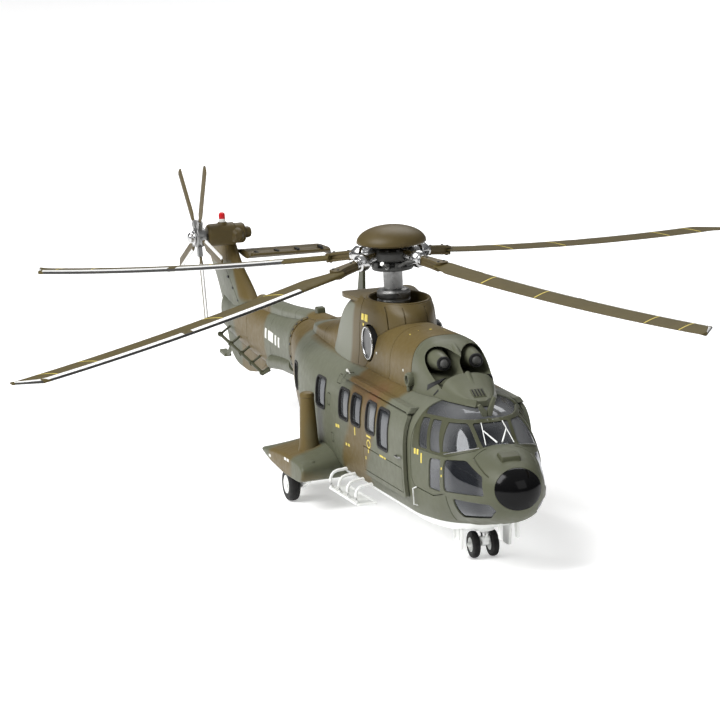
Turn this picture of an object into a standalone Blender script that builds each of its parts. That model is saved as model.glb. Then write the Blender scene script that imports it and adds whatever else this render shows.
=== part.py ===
"""Scale model of a medium transport helicopter, 1:72, standing on its wheels.

Nose along +X, port side along +Y, up along +Z.  All sizes below are millimetres of the
model, measured from the rotor axis (x, y) and from the ground under the tyres (z).
The finished model hangs under one empty, so that the world origin is the centre of the
flat pad under the belly, straight below the rotor axis.
"""

import math

import bmesh
import bpy
from mathutils import Matrix, Vector

MM = 0.001
GAP = 0.15                  # clearance between neighbouring pieces
WELD = 1e-6                 # metres
SIDES = {"starboard": -1, "port": 1}

# ---- driving dimensions -------------------------------------------------------------
ROTOR_RADIUS = 108.4
TAIL_ROTOR_RADIUS = 20.8
BELLY_Z = 6.0
ROOF_Z = 35.2
SKIN = 1.0                  # wall of the hollow fuselage
NOSE_X = 85.5
BOOM_JOINT_X = -60.0
HUB_Z = 59.2
TAIL_HUB = Vector((-130.0, -9.3, 44.2))
MAIN_AXLE = Vector((-20.3, 20.3, 3.9))
NOSE_AXLE = Vector((57.3, 0.0, 3.0))
NOSE_SWIVEL_X = 58.6

# x, half width, lowest z, highest z, squareness of the roof and of the underside (2 is an
# ellipse); from the tail joint to the nose tip
HULL = [
    (BOOM_JOINT_X, 7.3, 20.2, 34.4, 2.6, 2.8),
    (-46.0, 10.8, 14.4, 35.0, 3.0, 3.4),
    (-32.0, 13.3, 8.4, 35.2, 3.2, 3.4),
    (-22.0, 14.0, BELLY_Z, ROOF_Z, 3.2, 3.4),
    (48.0, 14.0, BELLY_Z, ROOF_Z, 3.2, 3.4),
    (57.0, 12.8, 6.3, 34.8, 2.5, 3.2),
    (62.0, 12.0, 7.4, 33.8, 2.3, 2.9),
    (66.5, 11.1, 9.1, 31.5, 2.2, 2.6),
    (71.0, 10.1, 10.0, 27.8, 2.3, 2.5),
    (76.0, 8.7, 11.0, 26.4, 2.3, 2.4),
    (81.0, 6.7, 12.9, 24.9, 2.2, 2.2),
    (84.2, 4.2, 15.4, 23.0, 2.1, 2.1),
    (NOSE_X, 1.6, 17.6, 20.6, 2.0, 2.0),
]
# x, half width, lowest z, highest z of the tail boom, from its joint ring to its end
BOOM = [
    (-60.5, 6.9, 19.8, 34.2),
    (-66.0, 6.1, 18.8, 33.4),
    (-80.0, 4.9, 17.4, 31.8),
    (-100.0, 3.8, 16.8, 30.4),
    (-122.0, 2.9, 17.8, 29.4),
    (-138.0, 2.2, 19.6, 28.2),
    (-144.5, 1.4, 22.0, 27.4),
]
# x, half width, top and roundness (1 is an ellipse) of the engine cowling
COWLING = [
    (-52.0, 3.0, 35.5, 0.85),
    (-44.0, 6.0, 36.6, 0.85),
    (-30.0, 7.5, 39.0, 0.85),
    (-18.0, 8.0, 42.2, 0.85),
    (5.0, 8.3, 44.8, 0.85),
    (24.0, 8.2, 45.6, 0.8),
    (36.0, 8.0, 45.8, 0.7),
]
# the same for the intake fairing, ahead of the cowling's seam
INTAKE_FAIRING = [
    (36.15, 8.0, 45.8, 0.7),
    (40.0, 7.9, 45.5, 0.66),
    (43.5, 7.6, 44.2, 0.66),
    (47.5, 7.0, 42.0, 0.74),
    (52.0, 6.0, 39.6, 0.82),
    (56.0, 4.6, 37.6, 0.85),
    (59.6, 2.8, 36.0, 0.85),
    (61.2, 1.2, 35.2, 0.85),
]
# how far each blade stands from an even quarter turn, and its droop at the root, degrees
BLADE_REST = [(-5.0, 5.6), (1.5, 8.0), (8.6, 8.7), (-2.0, 9.4)]
BLADE_UPTURN = 4.3          # rise of a blade's tip above its root line
FIRST_BLADE_AZIMUTH = 26.5

# door and window openings along the cabin side: x from, x to, z from, z to
DOOR = (19.5, 49.5, 13.0, 31.4)
DOOR_OPENING = (21.2, 47.8, 14.6, 30.6)
DOOR_WINDOWS = [(22.6, 29.2, 23.4, 30.2), (31.2, 38.8, 21.4, 30.2)]
CABIN_WINDOWS = [(8.6, 15.4, 22.6, 29.4), (-0.6, 6.2, 22.4, 29.2),
                 (-18.4, -11.6, 22.2, 29.0), (-43.4, -38.0, 22.0, 28.0)]
CANOPY_REAR_X = 52.0
CANOPY_SILL_Z = 24.9

PAINTS = {
    # name: colour, roughness, metallic
    "brown": ((0.155, 0.125, 0.055, 1), 0.62, 0.0),
    "green": ((0.125, 0.145, 0.105, 1), 0.62, 0.0),
    "white": ((0.78, 0.79, 0.76, 1), 0.45, 0.0),
    "black_gloss": ((0.006, 0.006, 0.007, 1), 0.08, 0.0),
    "clear": ((0.35, 0.38, 0.38, 1), 0.05, 0.0),
    "steel": ((0.42, 0.42, 0.42, 1), 0.3, 1.0),
    "dark_grey": ((0.06, 0.06, 0.06, 1), 0.5, 0.0),
    "rubber": ((0.012, 0.012, 0.012, 1), 0.85, 0.0),
    "red": ((0.55, 0.02, 0.02, 1), 0.25, 0.0),
}


# ---- small modelling kit --------------------------------------------------------------
def paint(name):
    """The named Principled material, made once."""
    if name in bpy.data.materials:
        return bpy.data.materials[name]
    colour, roughness, metallic = PAINTS[name]
    material = bpy.data.materials.new(name)
    material.use_nodes = True
    shader = material.node_tree.nodes["Principled BSDF"]
    shader.inputs["Base Color"].default_value = colour
    shader.inputs["Roughness"].default_value = roughness
    shader.inputs["Metallic"].default_value = metallic
    return material


def new_object(name, bm, finish=None, origin=(0, 0, 0)):
    """Turn a bmesh drawn in millimetres into an object whose origin is at `origin`."""
    origin = Vector(origin)
    bmesh.ops.connect_verts_nonplanar(bm, angle_limit=0.0005, faces=bm.faces)
    bmesh.ops.recalc_face_normals(bm, faces=bm.faces)
    for vertex in bm.verts:
        vertex.co = (vertex.co - origin) * MM
    mesh = bpy.data.meshes.new(name)
    bm.to_mesh(mesh)
    bm.free()
    if finish:
        mesh.materials.append(paint(finish))
    thing = bpy.data.objects.new(name, mesh)
    thing.location = origin * MM
    bpy.context.scene.collection.objects.link(thing)
    return thing


def loft(name, rings, finish=None, origin=(0, 0, 0), closed=False):
    """Skin a row of point rings; a closed row joins its last ring to its first."""
    bm = bmesh.new()
    loops = [[bm.verts.new(point) for point in ring] for ring in rings]
    pairs = list(zip(loops, loops[1:]))
    if closed:
        pairs.append((loops[-1], loops[0]))
    for near, far in pairs:
        count = len(near)
        for i in range(count):
            j = (i + 1) % count
            bm.faces.new((near[i], near[j], far[j], far[i]))
    if not closed:
        bm.faces.new(loops[0])
        bm.faces.new(loops[-1])
    return new_object(name, bm, finish, origin)


def turned(name, profile, finish=None, origin=(0, 0, 0), axis="Z", sides=24, bored=False):
    """Turn (radius, height) points round an axis through `origin`."""
    spin = {"Z": Matrix.Identity(3),
            "Y": Matrix.Rotation(-math.pi / 2, 3, "X"),
            "X": Matrix.Rotation(math.pi / 2, 3, "Y")}[axis]
    rings = []
    for radius, height in profile:
        ring = []
        for i in range(sides):
            angle = 2 * math.pi * i / sides
            point = Vector((radius * math.cos(angle), radius * math.sin(angle), height))
            ring.append(Vector(origin) + spin @ point)
        rings.append(ring)
    return loft(name, rings, finish, origin, closed=bored)


def box(name, low, high, finish=None, origin=(0, 0, 0)):
    """A plain block between two corners."""
    ring = [(low[0], low[1]), (high[0], low[1]), (high[0], high[1]), (low[0], high[1])]
    rings = [[Vector((x, y, z)) for x, y in ring] for z in (low[2], high[2])]
    return loft(name, rings, finish, origin)


def slab(name, outline, low, high, finish=None, plane="XZ", origin=(0, 0, 0)):
    """Extrude a flat outline between two offsets across its plane."""
    def place(point, offset):
        if plane == "XZ":
            return Vector((point[0], offset, point[1]))
        if plane == "XY":
            return Vector((point[0], point[1], offset))
        return Vector((offset, point[0], point[1]))
    rings = [[place(point, offset) for point in outline] for offset in (low, high)]
    return loft(name, rings, finish, origin)


def rod(name, path, radius, finish=None, origin=(0, 0, 0), sides=8):
    """A round bar along a row of points."""
    points = [Vector(point) for point in path]
    rings = []
    for i, point in enumerate(points):
        along = points[min(i + 1, len(points) - 1)] - points[max(i - 1, 0)]
        turn = along.to_track_quat("Z", "Y")
        ring = []
        for k in range(sides):
            angle = 2 * math.pi * k / sides
            spoke = Vector((radius * math.cos(angle), radius * math.sin(angle), 0))
            ring.append(point + turn @ spoke)
        rings.append(ring)
    return loft(name, rings, finish, origin)


def tidy_mesh(mesh):
    """Weld points that a Boolean left closer than a micrometre and drop slivers."""
    bm = bmesh.new()
    bm.from_mesh(mesh)
    bmesh.ops.remove_doubles(bm, verts=bm.verts, dist=WELD)
    bmesh.ops.dissolve_degenerate(bm, edges=bm.edges, dist=WELD)
    bm.to_mesh(mesh)
    bm.free()


def combine(target, tool, operation, solver="EXACT"):
    """Apply a Boolean to the target at once and drop the tool."""
    bpy.context.view_layer.update()
    modifier = target.modifiers.new(operation, "BOOLEAN")
    modifier.operation = operation
    modifier.solver = solver
    modifier.object = tool
    graph = bpy.context.evaluated_depsgraph_get()
    mesh = bpy.data.meshes.new_from_object(target.evaluated_get(graph))
    target.modifiers.clear()
    target.data = mesh
    if len(mesh.materials) > 1:
        for polygon in mesh.polygons:
            polygon.material_index = 0
        while len(mesh.materials) > 1:
            mesh.materials.pop()
    bpy.data.objects.remove(tool)
    return target


def cut(target, tool, solver="EXACT"):
    return combine(target, tool, "DIFFERENCE", solver)


def join(target, tool, solver="EXACT"):
    return combine(target, tool, "UNION", solver)


def keep(target, tool):
    return combine(target, tool, "INTERSECT")


def superellipse(x, half_width, low, high, count, crown, floor=None):
    """One rounded-box section across the X axis; the lower half may be squarer."""
    middle = (low + high) / 2
    half_height = (high - low) / 2
    ring = []
    for i in range(count):
        angle = 2 * math.pi * (i + 0.5) / count
        c = math.cos(angle)
        s = math.sin(angle)
        bend = 2 / (floor if floor and s < 0 else crown)
        y = half_width * math.copysign(abs(c) ** bend, c)
        z = middle + half_height * math.copysign(abs(s) ** bend, s)
        ring.append(Vector((x, y, z)))
    return ring


def eased(stations, longest=4.0):
    """Fill a station list with cubic steps so that the skin bends smoothly."""
    rows = []
    count = len(stations)
    slopes = []
    for i in range(count):
        before = stations[max(i - 1, 0)]
        after = stations[min(i + 1, count - 1)]
        here = stations[i]
        slope = []
        for k in range(1, len(here)):
            left = (here[k] - before[k]) / ((here[0] - before[0]) or 1)
            right = (after[k] - here[k]) / ((after[0] - here[0]) or 1)
            if i in (0, count - 1):
                slope.append(left or right)
            elif left * right <= 0:
                slope.append(0)
            else:
                slope.append(2 * left * right / (left + right))
        slopes.append(slope)
    for i in range(count - 1):
        here, after = stations[i], stations[i + 1]
        width = after[0] - here[0]
        flat = all(here[k] == after[k] for k in range(1, len(here)))
        steps = 1 if flat else max(1, math.ceil(abs(width) / longest))
        for step in range(steps):
            t = step / steps
            row = [here[0] + width * t]
            for k in range(1, len(here)):
                a = (1 + 2 * t) * (1 - t) ** 2 * here[k] + t * t * (3 - 2 * t) * after[k]
                b = t * (1 - t) ** 2 * slopes[i][k - 1] - t * t * (1 - t) * slopes[i + 1][k - 1]
                row.append(a + b * width)
            rows.append(row)
    rows.append(list(stations[-1]))
    return rows


def hull_solid(offset, count=26):
    """The fuselage as one solid, moved outward by `offset`."""
    rows = eased(HULL, 6.0)
    rings = []
    for i, (x, half_width, low, high, crown, floor) in enumerate(rows):
        if i == 0:
            x -= offset
        if i == len(rows) - 1:
            x += offset
        half_width = max(half_width + offset, 0.5)
        low = min(low - offset, (low + high) / 2 - 0.4)
        high = max(high + offset, (low + high) / 2 + 0.4)
        rings.append(superellipse(x, half_width, low, high, count, crown, floor))
    return loft("hull_solid", rings)


def hull_layer(inner, outer):
    """The skin between two offsets of the fuselage."""
    return cut(hull_solid(outer), hull_solid(inner))


def side_block(opening, side, inner_y=9.0, outer_y=20.0, grow=0.0):
    """A block through one cabin side over an (x, x, z, z) opening, corners rounded off."""
    x0, x1, z0, z1 = opening
    x0, x1, z0, z1 = x0 - grow, x1 + grow, z0 - grow, z1 + grow
    corner = 0.9
    outline = [(x0 + corner, z0), (x1 - corner, z0), (x1, z0 + corner), (x1, z1 - corner),
               (x1 - corner, z1), (x0 + corner, z1), (x0, z1 - corner), (x0, z0 + corner)]
    return slab("block", outline, side * inner_y, side * outer_y)


# ---- fuselage -------------------------------------------------------------------------
PAN_FRONT_X = 66.0
PAN_REAR_X = -31.0
PAN_TOP_Z = 9.6
RADOME_SIZE = (5.2, 4.4)
RADOME_Z = 19.9
RADOME_REAR_X = 79.0


def pan_region(grow):
    return box("region", (PAN_REAR_X - grow, -20, 0), (PAN_FRONT_X + grow, 20, PAN_TOP_Z + grow))


def canopy_region(grow):
    """Everything the clear cockpit moulding covers: side windows, windscreens and roof strip."""
    outline = [(CANOPY_REAR_X - grow, CANOPY_SILL_Z - grow), (66.6, CANOPY_SILL_Z - grow),
               (71.6 + grow, 26.6 - grow), (71.6 + grow, 40), (CANOPY_REAR_X - grow, 40)]
    return slab("region", outline, -20, 20)


def radome_region(grow):
    """The oval at the tip of the nose."""
    rings = []
    for x in (RADOME_REAR_X - grow, NOSE_X + 3):
        ring = []
        for i in range(28):
            angle = 2 * math.pi * i / 28
            ring.append(Vector((x, (RADOME_SIZE[0] + grow) * math.cos(angle),
                                RADOME_Z + (RADOME_SIZE[1] + grow) * math.sin(angle))))
        rings.append(ring)
    return loft("region", rings)


# side outlines (x, z) of the lower cockpit windows: crew door, quarter light and chin
NOSE_WINDOWS = [
    [(60.7, 17.4), (65.0, 17.4), (65.0, 23.9), (60.7, 23.6)],
    [(66.9, 17.0), (77.6, 17.6), (79.0, 19.2), (75.6, 24.4), (66.9, 24.0)],
    [(70.2, 15.7), (80.2, 16.2), (80.6, 13.9), (78.0, 12.4), (72.0, 12.0)],
]


def nose_window_region(side, outline, grow):
    """A block through one lower cockpit window; negative growth leaves a gap all round."""
    cx = sum(point[0] for point in outline) / len(outline)
    cz = sum(point[1] for point in outline) / len(outline)
    grown = [(x + grow * math.copysign(1, x - cx), z + grow * math.copysign(1, z - cz))
             for x, z in outline]
    return slab("region", grown, side * 2.5, side * 20)


def cabin_shell():
    """Hollow upper fuselage with its window, door, belly and nose openings."""
    shell = cut(hull_solid(0), hull_solid(-SKIN))
    cut(shell, pan_region(GAP))
    cut(shell, canopy_region(GAP))
    cut(shell, radome_region(GAP))
    for side in SIDES.values():
        cut(shell, side_block(DOOR_OPENING, side))
        for window in CABIN_WINDOWS:
            cut(shell, side_block(window, side, inner_y=5))
        for outline in NOSE_WINDOWS:
            cut(shell, nose_window_region(side, outline, 0))
    shell.name = "cabin_shell"
    shell.data.materials.append(paint("green"))
    return shell


def belly_pan():
    """White lower tray with the flat stand pad, the nose leg hole and two gear doors."""
    pan = keep(hull_solid(0), pan_region(0))
    cut(pan, hull_solid(-SKIN))
    pad = box("pad", (-8, -6, BELLY_Z), (8, 6, BELLY_Z + 1.6))
    join(pan, pad)
    socket = turned("socket", [(2.2, 0), (2.2, 4.2)], origin=(NOSE_SWIVEL_X, 0, BELLY_Z + 0.35))
    join(pan, socket)
    cut(pan, turned("hole", [(1.1 + GAP, 0), (1.1 + GAP, 8)], origin=(NOSE_SWIVEL_X, 0, 4)))
    for side in SIDES.values():
        door = slab("door", [(55.4, 2.4), (59.4, 2.4), (60.8, 7.4), (54.2, 7.4)],
                    side * 5.2, side * 5.8)
        join(pan, door)
    pan.name = "belly_pan"
    pan.data.materials.append(paint("white"))
    return pan


def clear_piece(name, region):
    piece = keep(hull_layer(-0.8, 0), region)
    piece.name = name
    piece.data.materials.append(paint("clear"))
    return piece


def raised_panes(strip, regions):
    """Add a pane to an inner strip for each opening, standing out into the skin."""
    for region in regions:
        join(strip, keep(hull_layer(-SKIN - GAP - 0.4, -0.3), region))
    strip.data.materials.append(paint("clear"))
    return strip


def nose_windows(name, side):
    """The three lower cockpit windows of one side on one inner sheet."""
    sheet = [(61.5, 18.4), (61.5, 22.8), (75.0, 23.4), (78.0, 18.6), (79.4, 14.4), (77.4, 13.2),
             (73.0, 13.0), (71.0, 16.6)]
    strip = keep(hull_layer(-SKIN - GAP - 0.6, -SKIN - GAP),
                 slab("region", sheet, side * 2.5, side * 20))
    raised_panes(strip, [nose_window_region(side, outline, -2 * GAP) for outline in NOSE_WINDOWS])
    strip.name = name
    return strip


def cabin_windows(name, side):
    """One clear strip inside the cabin wall with a raised pane for each window."""
    strip = keep(hull_layer(-SKIN - GAP - 0.6, -SKIN - GAP),
                 box("region", (-42.5, side * 4, 24.4), (15.0, side * 20, 27.2)))
    raised_panes(strip, [side_block(window, side, inner_y=5, grow=-GAP)
                         for window in CABIN_WINDOWS])
    strip.name = name
    return strip


def radome():
    piece = keep(hull_solid(0), radome_region(0))
    piece.name = "nose_radome"
    piece.data.materials.append(paint("black_gloss"))
    return piece


# ---- sliding doors --------------------------------------------------------------------
DOOR_INNER = 0.2            # the door runs this far outside the skin
DOOR_OUTER = 1.0
RAIL_FROM_X = 1.0
RAIL_TO_X = 49.6


def door_glass_region(side, grow):
    """Two door panes and the strip that joins them."""
    panes = [side_block(window, side, grow=grow) for window in DOOR_WINDOWS]
    return join(panes[0], panes[1])


def door_link(side, inner, outer, grow):
    return keep(hull_layer(inner, outer),
                box("region", (26.0 - grow, side * 9, 24.9 - grow),
                    (35.0 + grow, side * 20, 27.5 + grow)))


def sliding_door(name, side):
    door = keep(hull_layer(DOOR_INNER, DOOR_OUTER), side_block(DOOR, side))
    cut(door, door_glass_region(side, 0.0))
    cut(door, door_link(side, 0.0, 0.55, 0.0))
    handle = box("handle", (45.6, side * 14.8, 21.4), (48.0, side * 15.6, 22.4))
    join(door, handle)
    door.name = name
    door.data.materials.append(paint("green"))
    return door


def door_windows(name, side):
    glass = keep(hull_layer(DOOR_INNER, 0.8), door_glass_region(side, -GAP))
    join(glass, door_link(side, DOOR_INNER, 0.55 - GAP, -GAP))
    glass.name = name
    glass.data.materials.append(paint("clear"))
    return glass


def door_rail(name, side):
    low, high = DOOR[3] + 0.4, DOOR[3] + 1.3
    rail = keep(hull_layer(0.1, 1.1),
                box("region", (RAIL_FROM_X, side * 5, low), (RAIL_TO_X, side * 20, high)))
    rail.name = name
    rail.data.materials.append(paint("green"))
    return rail


# ---- cabin and cockpit inside -----------------------------------------------------------
def cabin_floor():
    """Floor plate of the cabin with two rows of bench seats facing outwards."""
    floor = box("cabin_floor", (-21, -12.6, 11.0), (46, 12.6, 11.9), "dark_grey")
    seat_outline = [(1.2, 11.6), (1.2, 20.5), (2.4, 20.5), (2.4, 15.2), (7.2, 15.2), (7.2, 11.6)]
    for side in SIDES.values():
        outline = [(side * y, z) for y, z in seat_outline]
        join(floor, slab("bench", outline, -16, 19, plane="YZ"))
    keep(floor, hull_solid(-2.0))
    return floor


def cockpit_interior():
    """Cockpit floor, two seats, centre console and instrument panel in one moulding."""
    tub = box("cockpit_interior", (47.5, -12.0, 11.0), (71.5, 12.0, 11.9), "dark_grey")
    join(tub, box("console", (60.0, -1.5, 11.5), (70.5, 1.5, 16.8)))
    panel = [(66.6, 11.5), (70.6, 11.5), (70.6, 23.4), (67.8, 24.2), (66.6, 18)]
    join(tub, slab("panel", panel, -8.0, 8.0))
    for side in SIDES.values():
        low, high = sorted((side * 2.6, side * 8.2))
        seat = [(52.0, 11.5), (59.4, 11.5), (59.4, 16.4), (54.6, 16.4), (53.4, 27.4), (51.6, 27.2)]
        join(tub, slab("seat", seat, low, high))
        low, high = sorted((side * 4.0, side * 6.8))
        rest = [(51.7, 27.0), (53.3, 27.0), (53.2, 29.6), (51.7, 29.6)]
        join(tub, slab("rest", rest, low, high))
    keep(tub, hull_solid(-2.0))
    return tub


# ---- engine deck -----------------------------------------------------------------------
INTAKE_X = 37.6
INTAKE_Y = 3.7
INTAKE_Z = 41.4
EXHAUST_X = 5.5
EXHAUST_Z = 39.7
EXHAUST_RADIUS = 4.2
DECK_CENTRE_X = 3.6
KNOB = Vector((36.4, 8.6, 36.6))


def cowling_section(x, half_width, top, roundness, count=18):
    """An arch with a small flared foot that stands on the cabin roof."""
    foot = [(half_width + 2.3, 28.0), (half_width + 2.3, 32.6), (half_width + 0.9, 33.6),
            (half_width + 0.2, 34.9)]
    ring = [Vector((x, y, z)) for y, z in foot]
    for i in range(count + 1):
        angle = math.pi * i / count
        c = math.cos(angle)
        s = math.sin(angle)
        y = half_width * math.copysign(abs(c) ** roundness, c)
        z = 35.6 + (top - 35.6) * abs(s) ** (roundness - 0.05)
        ring.append(Vector((x, y, z)))
    ring += [Vector((x, -y, z)) for y, z in reversed(foot)]
    return ring


def cowling_solid(grow=0.0):
    rings = [cowling_section(x, half_width + grow, top + grow, roundness)
             for x, half_width, top, roundness in eased(COWLING, 14.0)]
    return loft("engine_cowling", rings, "brown")


def intake_fairing_solid(grow=0.0):
    rings = [cowling_section(x, half_width + grow, top + grow, roundness)
             for x, half_width, top, roundness in INTAKE_FAIRING]
    return loft("intake_fairing", rings, "green")


def exhaust_bore(side):
    return turned("bore", [(EXHAUST_RADIUS + 0.05, -7), (EXHAUST_RADIUS + 0.05, 7)],
                  origin=(EXHAUST_X, side * 10, EXHAUST_Z), axis="Y", sides=20)


def engine_cowling():
    cowling = cowling_solid()
    cut(cowling, hull_solid(GAP))
    for side in SIDES.values():
        cut(cowling, exhaust_bore(side))
    well = turned("well", [(6.4, 0), (6.4, 14)], origin=(3.0, 0, 39.0))
    cut(cowling, well)
    return cowling


def intake_fairing():
    """Sculpted front of the engine deck with two flared recesses and a knob each side."""
    fairing = intake_fairing_solid()
    for side in SIDES.values():
        knob = turned("knob", [(0.8, -1.2), (1.3, -0.8), (1.3, 1.4), (0.9, 1.8)],
                      origin=(KNOB.x + 0.6, side * KNOB.y, KNOB.z), axis="X", sides=14)
        join(fairing, knob)
    for side in SIDES.values():
        recess = turned("recess", [(2.9, 0), (3.2, 3.0), (4.6, 15)],
                        origin=(INTAKE_X, side * INTAKE_Y, INTAKE_Z), axis="X")
        cut(fairing, recess)
    cut(fairing, hull_solid(GAP))
    cut(fairing, cowling_solid(0.05))
    return fairing


def intake_bullet(name, side):
    """Tapered plug with its end ring and cap, on a stalk in the recess."""
    profile = [(0.7, GAP), (0.7, 1.4), (1.9, 1.5), (2.0, 2.4), (1.5, 8.2), (1.3, 8.7),
               (1.0, 8.8), (1.0, 9.6), (0.6, 10.0), (0.15, 10.1)]
    return turned(name, profile, "green", origin=(INTAKE_X, side * INTAKE_Y, INTAKE_Z),
                  axis="X", sides=14)


def exhaust(name, side):
    """Exhaust pipe, open outward, standing a little out of the cowling."""
    outer = EXHAUST_RADIUS - GAP
    profile = [(outer, -3.0), (outer, 2.4), (outer - 0.45, 2.4), (outer - 0.45, -2.2),
               (0.2, -2.2), (0.2, -3.0)]
    profile = [(radius, side * height) for radius, height in profile]
    return turned(name, profile, "steel", origin=(EXHAUST_X, side * 6.4, EXHAUST_Z), axis="Y",
                  sides=20)


def mast_fairing():
    """Raised housing around the mast with its open well and a lipped deck behind."""
    levels = [(29.0, -4.6, 24.2, 10.0), (33.0, -4.3, 23.6, 9.5), (37.0, -3.5, 22.3, 8.9),
              (43.0, -1.8, 19.6, 8.4), (47.0, 0.8, 15.6, 7.8), (49.0, DECK_CENTRE_X, 10.4, 7.0)]
    rings = []
    for z, centre, half_length, half_width in levels:
        ring = []
        for i in range(32):
            angle = 2 * math.pi * (i + 0.5) / 32
            c = math.cos(angle)
            s = math.sin(angle)
            bend = 2 / 3.4 if c < 0 else 1.0
            ring.append(Vector((centre + half_length * math.copysign(abs(c) ** bend, c),
                                half_width * math.copysign(abs(s) ** bend, s), z)))
        rings.append(ring)
    fairing = loft("mast_fairing", rings, "brown")
    cut(fairing, cowling_solid(GAP), "MANIFOLD")
    cut(fairing, hull_solid(GAP), "MANIFOLD")
    lip = [(-3.0, 7.3), (-11.5, 8.5), (-14.6, 7.9), (-14.1, 0.1), (-14.6, -7.9), (-11.5, -8.5),
           (-3.0, -7.3)]
    join(fairing, slab("lip", lip, 47.63, 48.47, plane="XY"), "MANIFOLD")
    opening = []
    for z in (40.0, 52.0):
        opening.append([Vector((DECK_CENTRE_X + 9.3 * math.cos(2 * math.pi * i / 28),
                                6.2 * math.sin(2 * math.pi * i / 28), z)) for i in range(28)])
    cut(fairing, loft("opening", opening), "MANIFOLD")
    for side in SIDES.values():
        cut(fairing, exhaust_bore(side), "MANIFOLD")
    return fairing


def rear_antenna():
    outline = [(-29.0, 41.2), (-23.2, 42.0), (-22.0, 51.4), (-25.0, 51.4)]
    blade = slab("rear_antenna", outline, -0.35, 0.35, "dark_grey")
    join(blade, slab("foot", [(-30.0, 40.2), (-22.7, 41.6), (-22.7, 42.6), (-30.0, 41.4)], -1.1, 1.1))
    cut(blade, cowling_solid(GAP))
    return blade


def wire_cutter():
    """Small cable cutter on the roof between the windscreens."""
    outline = [(62.2, 32.0), (66.8, 30.0), (66.8, 32.6), (63.6, 37.4), (62.8, 37.2)]
    cutter = slab("wire_cutter", outline, -0.35, 0.35, "dark_grey")
    cut(cutter, hull_solid(GAP))
    cut(cutter, intake_fairing_solid(GAP))
    return cutter


# ---- main rotor -------------------------------------------------------------------------
def rotor_mast():
    profile = [(0.4, 39.4), (2.6, 39.4), (2.6, 47.2), (3.8, 48.3), (3.8, 50.0), (3.4, 50.5),
               (2.2, 50.7), (2.2, 55.0), (0.4, 55.0)]
    return turned("rotor_mast", profile, "steel", sides=24)


def swashplate():
    """Castellated ring with four pitch links up to the blade cuffs."""
    plate = turned("swashplate", [(0.4, 55.15), (4.7, 55.15), (4.7, 56.0), (3.4, 56.1),
                                  (3.4, 56.6), (0.4, 56.6)], "dark_grey")
    for i in range(10):
        angle = 2 * math.pi * i / 10
        tooth = box("tooth", (3.2, -0.6, 55.6), (4.6, 0.6, 57.0))
        tooth.rotation_euler.z = angle
        join(plate, tooth)
    for k in range(4):
        angle = math.radians(FIRST_BLADE_AZIMUTH + 90 * k + 34)
        foot = Vector((4.2 * math.cos(angle), 4.2 * math.sin(angle), 55.7))
        head = Vector((7.8 * math.cos(angle - 0.1), 7.8 * math.sin(angle - 0.1), 57.6))
        join(plate, rod("link", [foot, head], 0.45, sides=6))
    return plate


def blade_azimuth(index):
    return math.radians(FIRST_BLADE_AZIMUTH + 90 * index + BLADE_REST[index][0])


CUFF_END = 11.2


def rotor_hub():
    """Hub block with four sleeves that hold the blades."""
    hub = turned("rotor_hub", [(0.4, 57.2), (4.4, 57.2), (5.4, 57.8), (5.4, 59.3), (3.4, 60.1),
                               (0.4, 60.1)], "steel")
    for index in range(4):
        azimuth = blade_azimuth(index)
        droop = math.radians(BLADE_REST[index][1])
        along = Vector((math.cos(azimuth) * math.cos(droop), math.sin(azimuth) * math.cos(droop),
                        -math.sin(droop)))
        centre = Vector((0, 0, HUB_Z))
        sleeve = rod("sleeve", [centre + along * 3.0, centre + along * (CUFF_END - 0.2)], 1.2, sides=12)
        join(hub, sleeve)
        collar = rod("collar", [centre + along * 8.4, centre + along * 10.4], 1.9, sides=12)
        join(hub, collar)
    return hub


def hub_dome():
    profile = [(0.4, 60.5), (5.2, 60.5), (7.7, 61.0), (7.9, 61.3)]
    cap_height = 3.8
    for i in range(1, 6):
        angle = math.radians(90 * i / 6)
        profile.append((7.9 * math.cos(angle), 61.3 + cap_height * math.sin(angle)))
    profile.append((0.3, 61.3 + cap_height))
    return turned("hub_dome", profile, "brown", sides=28)


CHORD = 6.9


def blade_section(x, lead, trail, thickness):
    """Seven-point aerofoil across the blade; the leading edge is toward +Y."""
    share = (x - CUFF_END) / (ROTOR_RADIUS - CUFF_END)
    z = BLADE_UPTURN * share * share
    outline = [(1.0, 0.0), (0.86, 0.5), (0.55, 0.5), (0.0, 0.1), (0.0, -0.1), (0.55, -0.4),
               (0.86, -0.45)]
    return [Vector((x, trail + (lead - trail) * s, z + thickness * t)) for s, t in outline]


def rotor_blade(name, index):
    """One blade along +X of its own frame, turned to its place about the hub centre."""
    lead, trail = CHORD * 0.42, CHORD * -0.58
    full_chord_x = 23.5
    swept_tip = 4.4
    stations = [(CUFF_END, 1.3, -1.3, 2.4), (16.4, 1.6, -1.6, 1.9), (16.7, 3.3, -2.1, 1.5),
                (20.6, lead, trail * 0.75, 1.3), (full_chord_x, lead, trail, 1.2)]
    steps = 7
    for i in range(1, steps + 1):
        x = full_chord_x + (ROTOR_RADIUS - swept_tip - full_chord_x) * i / steps
        stations.append((x, lead, trail, 1.1))
    stations.append((ROTOR_RADIUS, trail + 1.4, trail, 0.8))
    rings = [blade_section(*station) for station in stations]
    blade = loft(name, rings, "brown")
    blade.location = (0, 0, HUB_Z * MM)
    azimuth = blade_azimuth(index)
    blade.rotation_euler = (0, math.radians(BLADE_REST[index][1]), azimuth)
    return blade


# ---- tail --------------------------------------------------------------------------------
def boom_solid(grow=0.0):
    rows = eased(BOOM, 14.0)
    rings = [superellipse(x, half_width + grow, low - grow, high + grow, 22, 2.6)
             for x, half_width, low, high in rows]
    return loft("tail_boom", rings, "green")


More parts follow.
